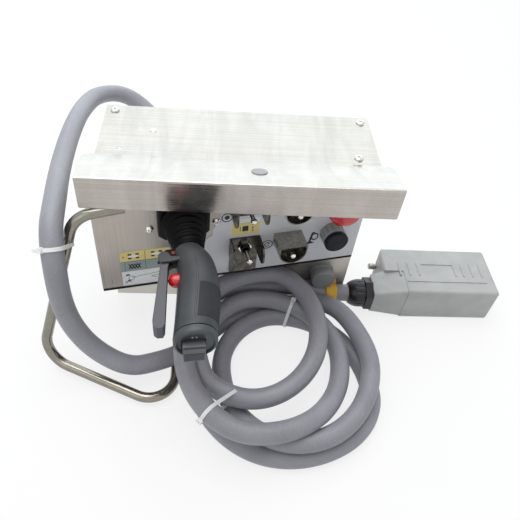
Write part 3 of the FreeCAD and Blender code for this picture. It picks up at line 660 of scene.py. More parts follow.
def rounded(low: Spot, high: Spot, radius: float, arc: int = 5) -> Array:
    """Outline of a rectangle with quarter circles for corners.

    Args:
        low: Lower left corner, u and v.
        high: Upper right corner, u and v.
        radius: Corner radius.
        arc: Points on each corner.

    Returns:
        Array of u and v, anticlockwise.
    """
    turn = np.linspace(0.0, np.pi / 2, arc)
    angle = np.concatenate([turn + quarter * np.pi / 2 for quarter in range(4)])
    middle = np.repeat(np.array([[1, 1], [0, 1], [0, 0], [1, 0]], float), arc, axis=0)
    first, last = np.array(low, float) + radius, np.array(high, float) - radius
    return first + middle * (last - first) + radius * np.stack([np.cos(angle), np.sin(angle)], -1)


def flowing(at: Array, stations: Array, values: Array, width: float = 3.2) -> Array:
    """Smooth curve through stations: straight runs, averaged with bell shaped weights.

    Args:
        at: Places to work out.
        stations: Places of the known values.
        values: Known values.
        width: Width of the bell.

    Returns:
        Value at each place.
    """
    fine = np.linspace(stations[0] - 4 * width, stations[-1] + 4 * width, 500)
    weight = np.exp(-(((at[:, None] - fine) / width) ** 2))
    slope = np.diff(values) / np.diff(stations)
    run = np.interp(fine, stations, values)
    run = run + slope[0] * np.minimum(fine - stations[0], 0.0)
    run = run + slope[-1] * np.maximum(fine - stations[-1], 0.0)
    return weight @ run / weight.sum(1)


def soften(piece: Piece, radius: float) -> None:
    """Rounds a piece's sharp edges.

    Args:
        piece: Piece to soften.
        radius: Radius in millimetres.
    """
    edge = piece.modifiers.new("soft_edges", "BEVEL")
    edge.width, edge.segments, edge.limit_method = radius * MM, 3, "ANGLE"
    edge.angle_limit = math.radians(25.0)


def bored(piece: Piece, drill: Piece) -> None:
    """Takes a drill's shape out of a piece and removes the drill.

    Args:
        piece: Piece to bore.
        drill: Closed shape to take away.
    """
    bore = piece.modifiers.new("bore", "BOOLEAN")
    bore.object, bore.operation, bore.solver = drill, "DIFFERENCE", "EXACT"
    held = piece.evaluated_get(bpy.context.evaluated_depsgraph_get())
    mesh = bpy.data.meshes.new_from_object(held)
    piece.modifiers.clear()
    piece.data = mesh
    bpy.data.objects.remove(drill)


def stroke(start: Spot, end: Spot, width: float) -> Array:
    """Outline of a straight stroke: the line's ends moved half a width to both sides.

    Args:
        start: First end, u and v.
        end: Last end, u and v.
        width: Width of the stroke.

    Returns:
        Array of u and v.
    """
    along = np.array(end, float) - np.array(start, float)
    side = np.array([-along[1], along[0]]) / np.linalg.norm(along) * width / 2
    return np.array([start - side, end - side, end + side, start + side])


# Sub-assemblies


@dataclass
class Tie:
    """Cable tie round two strands, or round a strand and a bar, in metres."""

    name: str
    at: float
    beside: float | None = None
    bar: tuple[Point, Point] | None = None
    bar_radius: float = 0.006
    head_turn: float = 0.0
    end: float = 0.006
    width: float = 0.0040
    thick: float = 0.0012
    head: Spot = (0.0028, 0.0030)
    head_levels: Spot = (0.0004, 0.0044)
    corner: float = 0.0008
    end_level: float = 0.0030
    end_slope: Spot = (0.94, 0.34)
    steps: int = 72

    def build(self, cable: "ControlCable") -> Piece:
        """Makes the strap, its head and its cut end.

        The strap is the tight loop round the circles: in each direction it takes
        the circle that reaches furthest and its point in that direction.

        Args:
            cable: Cable that carries the tie.

        Returns:
            The tie's object.
        """
        middle, along = cable.station(self.at)
        first_radius = second_radius = cable.diameter / 2
        if self.bar:
            first, last = (np.array(point) * MM for point in self.bar)
            other = first + (last - first) * ((middle - first) @ along) / ((last - first) @ along)
            second_radius = self.bar_radius
        else:
            other = cable.station(self.beside)[0]
        other = other - along * ((other - middle) @ along)
        right = (other - middle) / np.linalg.norm(other - middle)
        up = np.cross(along, right)
        turn = np.linspace(0.0, FULL_TURN, self.steps, endpoint=False)
        out = np.cos(turn)[:, None] * right + np.sin(turn)[:, None] * up
        near = out @ (other - middle) + second_radius <= first_radius
        path = np.where(near[:, None], middle + first_radius * out, other + second_radius * out)
        half = self.width / 2
        section = np.array([(0.0, -half), (self.thick, -half), (self.thick, half), (0.0, half)])
        strap = section[:, :1] * out[:, None] + section[:, 1:] * along
        shell = Shell().grid(path[:, None] + strap, True, True)
        spot = int(self.head_turn / 360 * self.steps) % self.steps
        lift, tangent = out[spot], np.cross(along, out[spot])
        head = rounded((-self.head[0], -self.head[1]), self.head, self.corner, 3)
        face = path[spot] + head[:, :1] * tangent + head[:, 1:] * along
        shell.tube(np.stack([face + level * lift for level in self.head_levels]))
        blade = rounded((0.003, -half), (0.003 + self.end, half), self.corner, 3)
        run = tangent * self.end_slope[0] + lift * self.end_slope[1]
        edge = path[spot] + self.end_level * lift + blade[:, :1] * run + blade[:, 1:] * along
        shell.tube(np.stack([edge, edge + self.thick * lift]))
        return shell.piece(self.name, NYLON, "base")


@dataclass
class ControlCable:
    """Thick grey cable from the rear gland, over the guard rod, coiled on the floor, to its plug.

    The route is in millimetres, the other sizes are in metres.
    """

    diameter: float = 0.023
    length: float = 3.42
    lead: tuple[Point, ...] = (
        (-88, 68, 98), (-88, 118, 98), (-98, 168, 110), (-124, 206, 126), (-161, 218, 148),
        (-194, 185, 164), (-203, 120, 179), (-204, 52, 187), (-201, -20, 191), (-189, -94, 208),
        (-186, -133, 205), (-182, -156, 174), (-185, -154, 122), (-176, -162, 87),
        (-155, -168, 52), (-120, -174, 28), (-88, -163, 24), (-62, -146, 16), (-38, -121, 11.5),
        (-14, -98, 11.5), (14, -80, 11.5), (46, -66, 12), (74, -65, 16), (97, -75, 28),
        (120, -80, 40), (146, -102, 41),
    )
    turns: tuple[tuple[Point, ...], ...] = (
        ((168, -157, 37), (72, -271, 34.5), (-14, -163, 12), (62, -87, 18)),
        ((169, -195, 11.5), (60, -278, 11.5), (-45, -178, 30), (33, -75, 39.5)),
        ((131, -160, 33), (25, -272, 57.5), (-58, -172, 69), (48, -55, 66.5)),
        ((103, -138, 61), (20, -225, 44)),
    )
    tail: tuple[Point, ...] = (
        (-12, -218, 48), (-33, -203, 52), (-41, -178, 53.5), (-46, -148, 53), (-49, -120, 48),
        (-40, -92, 41), (-19, -66, 39.5), (14, -54, 39), (48, -52.5, 38), (80, -52.5, 38),
        (104, -52.5, 32), (130, -52.5, 26), (157, -52.5, 27),
    )
    quarter_points: int = 4
    ties: tuple[Tie, ...] = (
        Tie("tie_on_rod", 0.574, bar=((-166.3, -116.8, 211.0), (-224.0, -151.0, 16.0)),
            head_turn=200.0, end=0.004),
        Tie("tie_on_left_turns", 2.552, 3.078, head_turn=150.0),
        Tie("tie_on_rear_turns", 2.229, 1.580, head_turn=200.0),
    )
    tag_back: float = 0.013
    tag_half: float = 0.0075
    tag_flap: float = 0.013
    tag_thick: float = 0.0005
    crumple: float = 0.0011
    plug: tuple[str, ...] = ("connector_hood", "connector_insert", "insert_screws",
                             "connector_pegs", "connector_gland")
    line: Array = field(default_factory=lambda: np.zeros((0, 3)))
    reach: Array = field(default_factory=lambda: np.zeros(0))

    def coil(self) -> Array:
        """Control points of the turns.

        Each quarter of a turn is a quarter ellipse between two of its right,
        front, left and back points, and its height eases from one to the other.

        Returns:
            Control points in millimetres.
        """
        marks = np.array([mark for turn in self.turns for mark in turn], float)
        share = np.arange(self.quarter_points) / self.quarter_points
        ease = share ** 2 * (3 - 2 * share)
        sine, cosine = np.sin(share * np.pi / 2), np.cos(share * np.pi / 2)
        quarters = []
        for index, (start, end) in enumerate(zip(marks, marks[1:])):
            across, away = (1 - cosine, sine) if index % 2 == 0 else (sine, 1 - cosine)
            quarters.append(start + (end - start) * np.stack([across, away, ease], -1))
        return np.concatenate(quarters + [marks[-1:]])

    def station(self, distance: float) -> tuple[Array, Array]:
        """Point of the cable's line at a distance from the gland.

        Args:
            distance: Distance along the line.

        Returns:
            The point, and the line's direction there.
        """
        spot, ahead = (np.array([np.interp(place, self.reach, part) for part in self.line.T])
                       for place in (distance, distance + 0.004))
        return spot, (ahead - spot) / np.linalg.norm(ahead - spot)

    def tag(self) -> Piece:
        """Makes the yellow tag: a strip folded round the cable, with its ends pressed together.

        The strip's line is a circle round the cable that opens into a flap, and
        a small sine wave across and along it crumples the strip.

        Returns:
            The tag's object.
        """
        middle, along = self.station(self.length - self.tag_back)
        right = np.cross(along, (0.0, 0.0, 1.0))
        right /= np.linalg.norm(right)
        up = np.cross(right, along)
        turn = np.linspace(-0.30, FULL_TURN + 0.30, 48) + 2.5
        loop = np.stack([np.cos(turn), np.sin(turn)], -1) * (self.diameter / 2 + 0.0006)
        flap = np.linspace(0.0, self.tag_flap, 8)[1:, None]
        lead_in = loop[0] + flap[::-1] * np.array([-0.84, 0.50])
        run_out = loop[-1] + flap * np.array([-0.80, 0.56])
        strip = np.concatenate([lead_in, loop, run_out])
        width = np.linspace(-self.tag_half, self.tag_half, 10)
        row = np.arange(len(strip))[:, None]
        fade = np.clip(np.abs(row - row.mean()) / 24, 0.1, 1)
        ripple = self.crumple * np.sin(row * 0.7 + width * 420) * fade
        lift = strip / np.linalg.norm(strip, axis=1, keepdims=True)
        spread = strip[:, None] + lift[:, None] * ripple[..., None]
        points = middle + spread[..., :1] * right + spread[..., 1:] * up
        points = points + width[None, :, None] * along
        tag = Shell().grid(points, False, False).piece("cable_tag", TAG_YELLOW, "base")
        wall = tag.modifiers.new("wall", "SOLIDIFY")
        wall.thickness, wall.offset = self.tag_thick, 0.0
        return tag

    def build(self, gland_nut: Piece) -> None:
        """Lays the cable on its control points and puts its ties and its tag on it.

        Args:
            gland_nut: Not used.
        """
        route = np.concatenate([self.lead, self.coil(), self.tail]) * MM
        curve = bpy.data.curves.new("control_cable", "CURVE")
        curve.dimensions = "3D"
        curve.resolution_u = 8
        spline = curve.splines.new("NURBS")
        spline.points.add(len(route) - 1)
        spline.points.foreach_set("co", np.c_[route, np.ones(len(route))].ravel())
        spline.order_u = 3
        spline.use_endpoint_u = True
        cable = bpy.data.objects.new("control_cable", curve)
        bpy.context.scene.collection.objects.link(cable)
        trace = bpy.data.meshes.new_from_object(cable)
        self.line = np.array([vertex.co for vertex in trace.vertices], float)
        lengths = np.linalg.norm(np.diff(self.line, axis=0), axis=1)
        self.reach = np.concatenate([[0.0], np.cumsum(lengths)])
        bpy.data.meshes.remove(trace)
        curve.bevel_depth = self.diameter / 2
        curve.bevel_resolution = 6
        curve.use_fill_caps = True
        curve.materials.append(CABLE_GREY.material())
        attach(cable, "base")
        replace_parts(cable, "cable_lead", "cable_coil", "cable_tail")
        extras = [tie.build(self) for tie in self.ties] + [self.tag()]
        log.info("control_cable laid, %.2f m long", self.reach[-1])


@dataclass
class SteelBox:
    """Welded stainless box with its cover, visor and guard rod."""

    plug: Point = (118.0, -40.0, 56.0)
    plug_profile: tuple[Spot, ...] = (
        (10.9, -10.0), (10.9, 0.0), (15.0, 0.0), (15.5, 0.5), (15.5, 5.6), (15.0, 6.2), (14.0, 6.6),
        (14.0, 7.8), (15.0, 8.2), (15.5, 8.8), (15.5, 15.6), (15.1, 16.8), (14.3, 17.6),
        (13.5, 17.5), (13.2, 17.0))
    screws: tuple[Point, ...] = ((-142.5, 35.0, 236.0), (142.5, 35.0, 236.0), (129.5, -35.0, 236.0))
    screw_profile: tuple[Spot, ...] = (
        (2.4, -11.0), (2.4, 0.0), (5.0, 0.0), (5.0, 0.6), (4.7, 1.6), (4.0, 2.4), (3.0, 2.9),
        (2.0, 3.0), (1.8, 2.9), (1.8, 1.2))
    stud: Point = (-129.5, -35.0, 236.0)
    stud_profile: tuple[Spot, ...] = ((2.68, -2.2), (2.68, -0.1), (2.5, 0.0))
    plug_steps: int = 96
    screw_steps: int = 36
    # Corners and levels of the black strip of painted shadow under the panel's lower edge.
    painted_shadow_strip: tuple[Spot, Spot] = ((0.3, -2.4), (311.1, 0.1))
    painted_shadow_levels: Spot = (-0.6, 0.7)

    def stepped_plug(self) -> None:
        """Grey plug: a turned profile with a flange, a groove, a cap and a sunken face."""
        seat = Seat(self.plug, up=(0.0, 0.0, 1.0), out=(0.0, -1.0, 0.0))
        shell = Shell().tube(seat.turned(self.plug_profile, self.plug_steps))
        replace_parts(shell.piece("stepped_plug", PLUG_GREY, "base", None, 30.0), "blanking_plug")

    def cover_screws(self) -> None:
        """Makes the cover's button screws and its flush stud: turned profiles on the cover."""
        shell = Shell()
        for spot in self.screws:
            shell.tube(Seat(spot).turned(self.screw_profile, self.screw_steps))
        screws = shell.piece("cover_button_screws", NICKEL, "base", "bright_steel", 30.0)
        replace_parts(screws, "cover_screws")
        shell = Shell().tube(Seat(self.stud).turned(self.stud_profile, self.screw_steps))
        shell.piece("flush_stud", STEEL_PLATE, "base", "steel")

    def panel_painted_shadow(self) -> None:
        """Makes a black strip under the console panel's lower edge: a long plate that is painted
        shadow for the gap under the panel's overhang.
        """
        (left, foot), (right, head) = self.painted_shadow_strip
        outline = np.array([(left, foot), (right, foot), (right, head), (left, head)])
        shell = Shell().plate(PANEL, outline, *self.painted_shadow_levels)
        shell.piece("panel_painted_shadow", PAINTED_SHADOW_BLACK, "base")

    def build(self) -> None:
        """Makes the plug, the screws and the painted shadow strip and gives the sheet metal its
        finishes.
        """
        dress(STEEL_BODY, "enclosure")
        dress(STEEL_PANEL, "front_panel")
        dress(STEEL_PLATE, "rain_hood")
        dress(NICKEL, "cover_rivet", "cover_brackets")
        dress(ROD_STEEL, "guard_rod")
        dress(PLUG_GREY, "visor_plug")
        self.stepped_plug()
        self.cover_screws()
        self.panel_painted_shadow()
        dress(BLACK_PLASTIC, "blanking_nut", "rear_gland", "rear_gland_nut")


@dataclass
class PanelPrints:
    """Labels and pictograms on the console panel, all generic."""

    label: Seat = PANEL.moved(23.0, 0.0, 0.0)
    label_level: float = 0.02
    switch_level: float = 0.52
    film: float = 0.16
    ink: float = 0.06
    line: float = 0.5
    arcs: int = 24
    film_edges: Spot = (100.0, 127.02)
    film_foot: float = 1.0
    film_arc: float = 48.0
    film_levels: Spot = (0.0, 0.5)

    def sticker(self, name: str, outline: Array, seat: Seat, low: float, finish: Finish) -> None:
        """Makes a label of film thickness from its outline in a frame on the panel."""
        shell = Shell().plate(seat, outline, low, low + self.film)
        shell.piece(name, finish, "base", "overlay_grey")

    def marks(self, name: str, outlines: list[Array], seat: Seat, low: float,
              finish: Finish = INK) -> None:
        """Prints outlines as a thin layer of ink.

        Args:
            name: Name of the piece.
            outlines: Outlines, u and v.
            seat: Frame on the panel.
            low: Level that the ink lies on.
            finish: Ink.
        """
        shell = Shell()
        for outline in outlines:
            shell.plate(seat, outline, low, low + self.ink)
        shell.piece(name, finish, "base")

    def ring(self, middle: Spot, outer: float, width: float, squash: float = 1.0,
             span: Spot = (0.0, 360.0)) -> list[Array]:
        """Outlines of a ring, cut into short arcs.

        Args:
            middle: Centre, u and v.
            outer: Outer radius.
            width: Width of the line.
            squash: Height as a share of the width.
            span: First and last angle in degrees.

        Returns:
            One outline for each arc.
        """
        angle = np.radians(np.linspace(*span, self.arcs + 1))
        rim = np.stack([np.cos(angle), np.sin(angle) * squash], -1)
        outside, inside = (np.array(middle) + radius * rim for radius in (outer, outer - width))
        corners = np.stack([inside[:-1], outside[:-1], outside[1:], inside[1:]], 1)
        return list(corners)

    def platform_marks(self, top: float) -> None:
        """Prints plans of two wheeled platforms, dark wheels and a pale deck, with two arrows.

        Args:
            top: Level of the label's face.
        """
        dark, pale = [], []
        for u in (15.0, 40.5):
            for middle in ((u + side, 49.4 + row) for side in (-4.2, 4.2) for row in (-2.9, 2.9)):
                low, high = np.array(middle) - (1.9, 1.3), np.array(middle) + (1.9, 1.3)
                dark.append(rounded(low, high, 0.3))
            pale.append(rounded((u - 5.0, 47.7), (u + 5.0, 51.1), 0.4))
        dark += [np.array([(2.2, 49.3), (4.2, 50.6), (4.2, 48.0)]),
                 np.array([(53.4, 49.3), (51.4, 48.0), (51.4, 50.6)]),
                 stroke((27.6, 42.2), (27.6, 56.4), self.line),
                 stroke((0, 41.4), (53, 41.4), self.line)]
        self.marks("label_platform_marks", dark, self.label, top)
        self.marks("label_platform_decks", pale, self.label, top + 0.01, LABEL_WHITE)

    def left_label(self) -> None:
        """Strips left of the joystick: platforms on yellow, a lattice on grey, a beam on white."""
        yellow = np.array([(0, 41.5), (53, 41.5), (56, 44), (56, 55), (54, 57), (0, 57)])
        grey, white = rounded((0, 25.5), (52, 41.2), 0.4), rounded((0, 1.4), (52, 25.2), 0.4)
        self.sticker("label_strip_yellow", yellow, self.label, self.label_level, LABEL_YELLOW)
        self.sticker("label_strip_grey", grey, self.label, self.label_level, LABEL_GREY)
        self.sticker("label_strip_white", white, self.label, self.label_level, LABEL_WHITE)
        top = self.label_level + self.film
        self.platform_marks(top)
        lattice = [stroke((left, start), (left + 3.2, end), 1.3) for left in (9.0, 12.2, 15.4, 18.6)
                   for start, end in ((29.0, 37.0), (37.0, 29.0))]
        lattice += [stroke((u, 26.4), (u, 40.6), 0.4) for u in (4.6, 27.6)]
        lattice += [rounded((41, 31), (46, 36.5), 0.4)]
        self.marks("label_lattice_marks", lattice, self.label, top)
        beam = [stroke((42, 18.4), (50, 21.4), 1.6)]
        beam += [stroke(start, end, self.line) for start, end in (
            ((11, 14.6), (42, 18.4)), ((33, 12.6), (47, 15.2)), ((33, 12.6), (40, 9.4)),
            ((3.0, 8.6), (11.0, 7.4)))]
        beam += self.ring((10.5, 13.6), 3.6, self.line) + self.ring((4.0, 6.6), 1.3, self.line)
        beam += [rounded((4.4, 18.0), (8.8, 20.4), 0.5), rounded((6.0, 8.6), (9.2, 10.8), 0.4)]
        self.marks("label_beam_marks", beam, self.label, top)

    def film_behind_grip(self) -> None:
        """Carries the overlay film on behind the grip, up to an arc about the joystick."""
        left, right = self.film_edges
        across = np.linspace(right, left, 16)
        drop = np.sqrt(self.film_arc ** 2 - (across - STICK_SPOT[0]) ** 2)
        arc = np.stack([across, STICK_SPOT[1] - drop], -1)
        outline = np.concatenate([[(left, self.film_foot), (right, self.film_foot)], arc])
        shell = Shell().plate(PANEL, outline, *self.film_levels)
        shell.piece("overlay_behind_grip", OVERLAY_FILM, "base", "overlay_grey")

    def switch_marks(self) -> None:
        """Label between the left toggles, round marks beside them and a horn beside the button."""
        low = self.switch_level
        label = rounded((149.0, 63.0), (182.0, 81.0), 0.5)
        head = rounded((152.0, 81.6), (181.0, 87.4), 0.4)
        self.sticker("switch_label", label, PANEL, low, LABEL_YELLOW)
        self.sticker("switch_label_head", head, PANEL, low, LABEL_WHITE)
        dark = [rounded((161.0, 68.0), (168.0, 76.0), 0.4),
                stroke((158.6, 68.4), (158.6, 75.6), 0.8),
                stroke((173.4, 66.6), (173.4, 69.0), 1.4)]
        dot = np.array([(171.6, 72.4), (173.2, 70.8), (174.8, 72.4), (173.2, 74.0)])
        self.marks("switch_label_marks", dark, PANEL, low + self.film)
        self.marks("switch_label_dot", [dot], PANEL, low + self.film, INK_RED)
        turn, light = (193.5, 41.0), (142.5, 92.0)
        marks = self.ring(turn, 7.0, 1.2) + self.ring(turn, 3.7, 1.1, 1.0, (20.0, 320.0))
        marks += [stroke(start, end, 1.1) for start, end in (
            ((186.8, 41.0), (183.2, 44.2)), ((186.8, 41.0), (183.2, 37.8)), (turn, (196.0, 43.0)))]
        marks += self.ring(light, 6.6, 1.3) + self.ring(light, 3.0, 2.9)
        bell = np.array([(237.4, 30.6), (254.0, 33.6), (249.2, 36.8), (245.8, 36.2)])
        marks += [bell, stroke((247.0, 34.6), (249.6, 50.6), 2.8),
                  stroke((248.2, 50.4), (252.4, 51.2), 2.2)]
        marks += self.ring((253.0, 44.0), 4.8, 1.6, 1.3)
        self.marks("switch_marks", marks, PANEL, low)

    def build(self) -> None:
        """Dresses the overlay film and prints everything on it and beside it."""
        dress(OVERLAY_FILM, "switch_overlay")
        self.film_behind_grip()
        self.left_label()
        self.switch_marks()


@dataclass
class Joystick:
    """Joystick with its square flange, pleated boot and sculpted handle.

    Sections of the handle are its height, left side and right side.
    """

    boot_low: float = 8.0
    boot_neck: float = 49.0
    boot_high: float = 54.0
    boot_shift: float = -2.6
    boot_foot: float = 23.4
    boot_taper: float = 8.2
    boot_collar: tuple[Spot, ...] = (
        (14.9, 50.2), (15.1, 51.0), (15.1, 53.4), (14.6, 54.0), (13.2, 54.0), (13.2, 44.0),
        (15.0, 34.0), (18.4, 18.0), (20.4, 8.0))
    boot_bend: Spot = (10.0, 48.0)
    boot_rows: int = 96
    boot_steps: int = 72
    pleat: float = 7.4
    pleat_start: float = 11.0
    sections: tuple[Point, ...] = (
        (-2.0, -15.0, 9.6), (8.0, -15.0, 9.6), (10.0, -17.2, 11.8), (13.0, -17.2, 13.2),
        (18.0, -16.8, 16.8), (25.0, -16.2, 20.2), (34.0, -15.4, 22.0), (45.0, -15.3, 23.4),
        (57.0, -16.0, 24.0), (75.0, -18.6, 22.2), (92.0, -20.7, 19.3), (104.0, -22.4, 17.2),
        (113.0, -23.7, 15.7))
    joint: float = 112.2
    handle_steps: int = 120
    bore_profile: tuple[Spot, ...] = ((7.7, 0.0), (7.7, 25.0))
    bore_start: float = -34.0
    bore_steps: int = 64
    lug_side: tuple[Spot, ...] = (
        (-12.0, 8.0), (-25.5, 9.5), (-31.0, 19.0), (-31.0, 27.0), (-28.2, 30.2), (-23.4, 30.2),
        (-19.5, 27.2), (-12.0, 27.2))
    lug_half: float = 4.9
    roof_side: tuple[Spot, ...] = (
        (-10.0, 24.6), (-15.4, 24.4), (-20.4, 24.0), (-23.0, 18.6), (-26.0, 17.2), (-29.4, 17.4),
        (-33.0, 21.8), (-33.0, 27.0), (-30.4, 31.4), (-22.0, 31.0), (-10.0, 28.6))
    roof_levels: Spot = (8.3, 11.2)
    plunger_height: float = 47.0
    plunger_radius: float = 6.9
    plunger_root: float = 12.1
    dome_start: float = 17.6
    dome_rise: float = 7.0
    plunger_steps: int = 56
    cap_across: float = -4.1
    cap_profile: tuple[Spot, ...] = (
        (17.8, 106.6), (17.8, 112.8), (18.9, 112.8), (19.6, 113.1), (19.9, 114.0), (19.9, 118.0),
        (19.5, 119.8), (18.7, 121.0), (17.8, 121.6), (17.1, 121.6), (16.6, 121.2), (16.3, 120.2),
        (16.1, 119.6))
    cap_steps: int = 144
    pocket_half: Spot = (10.7, 7.7)
    pocket_rise: float = -1.9
    pocket_levels: Point = (119.4, 119.0, 108.3)
    dot_place: Point = (0.7, 9.3, 119.2)
    dot_apart: float = 1.8
    dot_radius: float = 1.15
    dot_steps: int = 20
    rocker_across: float = -6.0
    rocker_half: float = 10.0
    rocker_side: tuple[Spot, ...] = (
        (4.2, 110.8), (4.2, 120.8), (5.5, 121.7), (5.6, 126.2), (5.0, 127.0), (4.4, 127.0),
        (4.2, 125.9), (2.3, 125.9), (2.1, 127.2), (-4.0, 127.6), (-4.5, 126.9), (-15.8, 127.3),
        (-17.0, 126.9), (-17.0, 126.2), (-9.4, 124.6), (-8.0, 124.0), (-8.0, 110.8))
    # Outline, level, slope and depths of the thin dark plate of painted shade on the rocker's lower
    # half.
    rocker_face: tuple[Spot, ...] = ((-8.6, -15.4), (8.6, -15.4), (9.0, -5.2), (-9.0, -5.2))
    face_level: float = 127.0
    face_slope: float = 0.035
    face_depths: Spot = (-0.9, -0.05)
    pad_heights: Spot = (65.5, 104.5)
    pad_angles: Spot = (87.5, -75.0)
    pad_grid: tuple[int, int] = (150, 170)
    pad_radius: float = 20.0
    pad_rib: float = 1.5
    pad_rise: float = 0.45
    pad_root: float = -0.6
    rib_rise: float = 0.14
    seam_angle: float = 94.0
    seam_start: float = 28.0

    def boot(self) -> None:
        """Makes the pleated boot.

        Its outside is a cone whose radius rises and falls as a cosine of the
        height, one wave for each pleat, and its inside is a plain cone. Its axis
        leans towards the neck of the handle.
        """
        height = np.linspace(self.boot_low, self.boot_neck, self.boot_rows)
        share = (height - self.boot_low) / (self.boot_neck - self.boot_low)
        wave = np.cos(FULL_TURN * (height - self.pleat_start) / self.pleat)
        wave = np.sign(wave) * np.abs(wave) ** 0.7
        radius = self.boot_foot - self.boot_taper * share ** 1.1 + (2.0 - 1.2 * share) * wave
        profile = np.concatenate([np.stack([radius, height], -1), self.boot_collar])
        lean = (profile[:, 1] - self.boot_low) / (self.boot_high - self.boot_low)
        lean = self.boot_shift * lean[:, None, None] * MM * np.array(STICK.right)
        shell = Shell().grid(STICK.turned(profile, self.boot_steps) + lean, True, True)
        boot = shell.piece("pleated_boot", BOOT_RUBBER, None, "boot_rubber", 60.0)
        low, high = self.boot_bend
        tuple(STICK.at(0, 0, low))
        tuple(STICK.at(0, 0, high))
        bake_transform(boot)
        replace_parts(boot, "boot_bellows")

    def skin(self, height: Array, angle: Array, proud: Array | float = 0.0) -> Array:
        """Points on the handle's skin.

        Each section is an ellipse between the handle's left and right side at
        that height, as tall as it is wide, moved outwards by proud.

        Args:
            height: Heights of the rows.
            angle: Angles of the columns, in radians.
            proud: Distance outside the skin, for all points or each point.

        Returns:
            Rows by columns of points.
        """
        stations, *sides = np.array(self.sections).T
        left, right = (flowing(height, stations, side)[:, None] for side in sides)
        half = (right - left) / 2 + proud
        across = (right + left) / 2 + half * np.cos(angle)
        return GRIP.at(across, half * np.sin(angle), height[:, None])

    def handle(self) -> None:
        """Makes the moulded handle with a socket for the cap and a hole for the plunger.

        Rows of the skin go up to the joint, round its edge and down into the
        socket, and a turned drill takes the hole out.
        """
        turn = np.linspace(0.0, FULL_TURN, self.handle_steps, endpoint=False)
        low = np.linspace(-1.0, self.joint - 0.6, 110)
        edge = self.joint - np.array([0.25, 0.0, 0.0, 6.2])
        inset = np.concatenate([0 * low, [-0.12, -0.6, -1.7, -1.7]])
        rows = self.skin(np.concatenate([low, edge]), turn, inset[:, None])
        shell = Shell().tube(rows)
        handle = shell.piece("grip_handle", CHARCOAL, "joystick", "grip_charcoal", 35.0)
        start = tuple(GRIP.at(self.bore_start, 0.0, self.plunger_height) / MM)
        seat = Seat(start, GRIP.up, GRIP.out, GRIP.right)
        drill = Shell().tube(seat.turned(self.bore_profile, self.bore_steps))
        bored(handle, drill.piece("plunger_drill", CHARCOAL, None))
        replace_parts(handle, "grip_body")

    def lug(self) -> None:
        """Makes the trigger's lug and the roof over it: side outlines carried across the handle."""
        lug = Shell().plate(GRIP_SIDE, self.lug_side, -self.lug_half, self.lug_half)
        # Painted shade: the lug takes black plastic, darker than the handle, so the recess under the
        # roof reads as dark.
        soften(lug.piece("trigger_lug", BLACK_PLASTIC, "joystick", "grip_charcoal"), 0.9)
        roof = Shell().plate(GRIP_SIDE, self.roof_side, *self.roof_levels)
        soften(roof.piece("trigger_roof", CHARCOAL, "joystick", "grip_charcoal"), 1.0)

    def plunger(self) -> None:
        """Makes the red plunger: a turned profile, straight in its hole and domed outside."""
        start = tuple(GRIP.at(0.0, 0.0, self.plunger_height) / MM)
        seat = Seat(start, GRIP.up, GRIP.out, tuple(-np.array(GRIP.right)))
        swing = np.radians(np.linspace(0.0, 86.0, 12))
        dome = np.stack([self.plunger_radius * np.cos(swing),
                         self.dome_start + self.dome_rise * np.sin(swing)], -1)
        profile = np.concatenate([[(self.plunger_radius, self.plunger_root)], dome])
        shell = Shell().tube(seat.turned(profile, self.plunger_steps))
        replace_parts(shell.piece("red_plunger", STOP_RED, "plunger", "signal_red"), "trigger_button")

    def cap(self) -> None:
        """Makes the end cap and its two lamp dots.

        The cap is a turned rim with a sunken face, whose rows run on into the
        rocker's square pocket. Each dot is a turned quarter wave.
        """
        seat = GRIP.moved(self.cap_across, 0.0, 0.0)
        middle = self.rocker_across - self.cap_across
        turn = np.linspace(0.0, FULL_TURN, self.cap_steps, endpoint=False)
        ways = np.maximum(np.abs([np.cos(turn), np.sin(turn)]), 1e-6)
        reach = (np.array(self.pocket_half)[:, None] / ways).min(0)
        across, rise = middle + reach * np.cos(turn), self.pocket_rise + reach * np.sin(turn)
        pocket = np.stack([seat.at(across, rise, level) for level in self.pocket_levels])
        rows = np.concatenate([seat.turned(self.cap_profile, self.cap_steps), pocket])
        shell = Shell().tube(rows)
        cap = shell.piece("grip_end_cap", CHARCOAL_CAP, "joystick", "grip_charcoal", 35.0)
        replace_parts(cap, "grip_cap")
        swing = np.linspace(0.0, np.pi / 2, 6)[:-1]
        dome = np.stack([self.dot_radius * np.cos(swing), 0.5 + 0.9 * np.sin(swing)], -1)
        place = seat.moved(middle, 0.0, 0.0).moved(*self.dot_place)
        dots = Shell()
        for side in (-self.dot_apart, self.dot_apart):
            dots.tube(place.moved(side, 0.0, 0.0).turned(dome, self.dot_steps))
        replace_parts(dots.piece("cap_lamp_dots", PALE_DOT, "joystick"), "cap_dots")

    def rocker(self) -> None:
        """Thumb rocker: a ridged side outline carried across, narrower at its lower end."""
        up, out = np.array(self.rocker_side).T
        half = self.rocker_half + np.clip(up + 4.0, -12.0, 0.0) * 0.06
        sides = np.stack([GRIP.at(self.rocker_across + way * half, up, out) for way in (-1, 1)])
        rocker = Shell().tube(sides).piece("ridged_rocker", ROCKER_GREY, "rocker", "rocker_grey")
        soften(rocker, 0.45)
        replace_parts(rocker, "thumb_rocker")
        # Painted shade: a thin dark plate just over the rocker's lower half.
        across, up = np.array(self.rocker_face).T
        level = self.face_level - self.face_slope * up
        faces = np.stack([GRIP.at(self.rocker_across + across, up, level + rise)
                          for rise in self.face_depths])
        face = Shell().tube(faces).piece("rocker_lower_painted_shade", ROCKER_PAINTED_SHADE, "rocker", "rocker_grey")
        soften(face, 0.15)

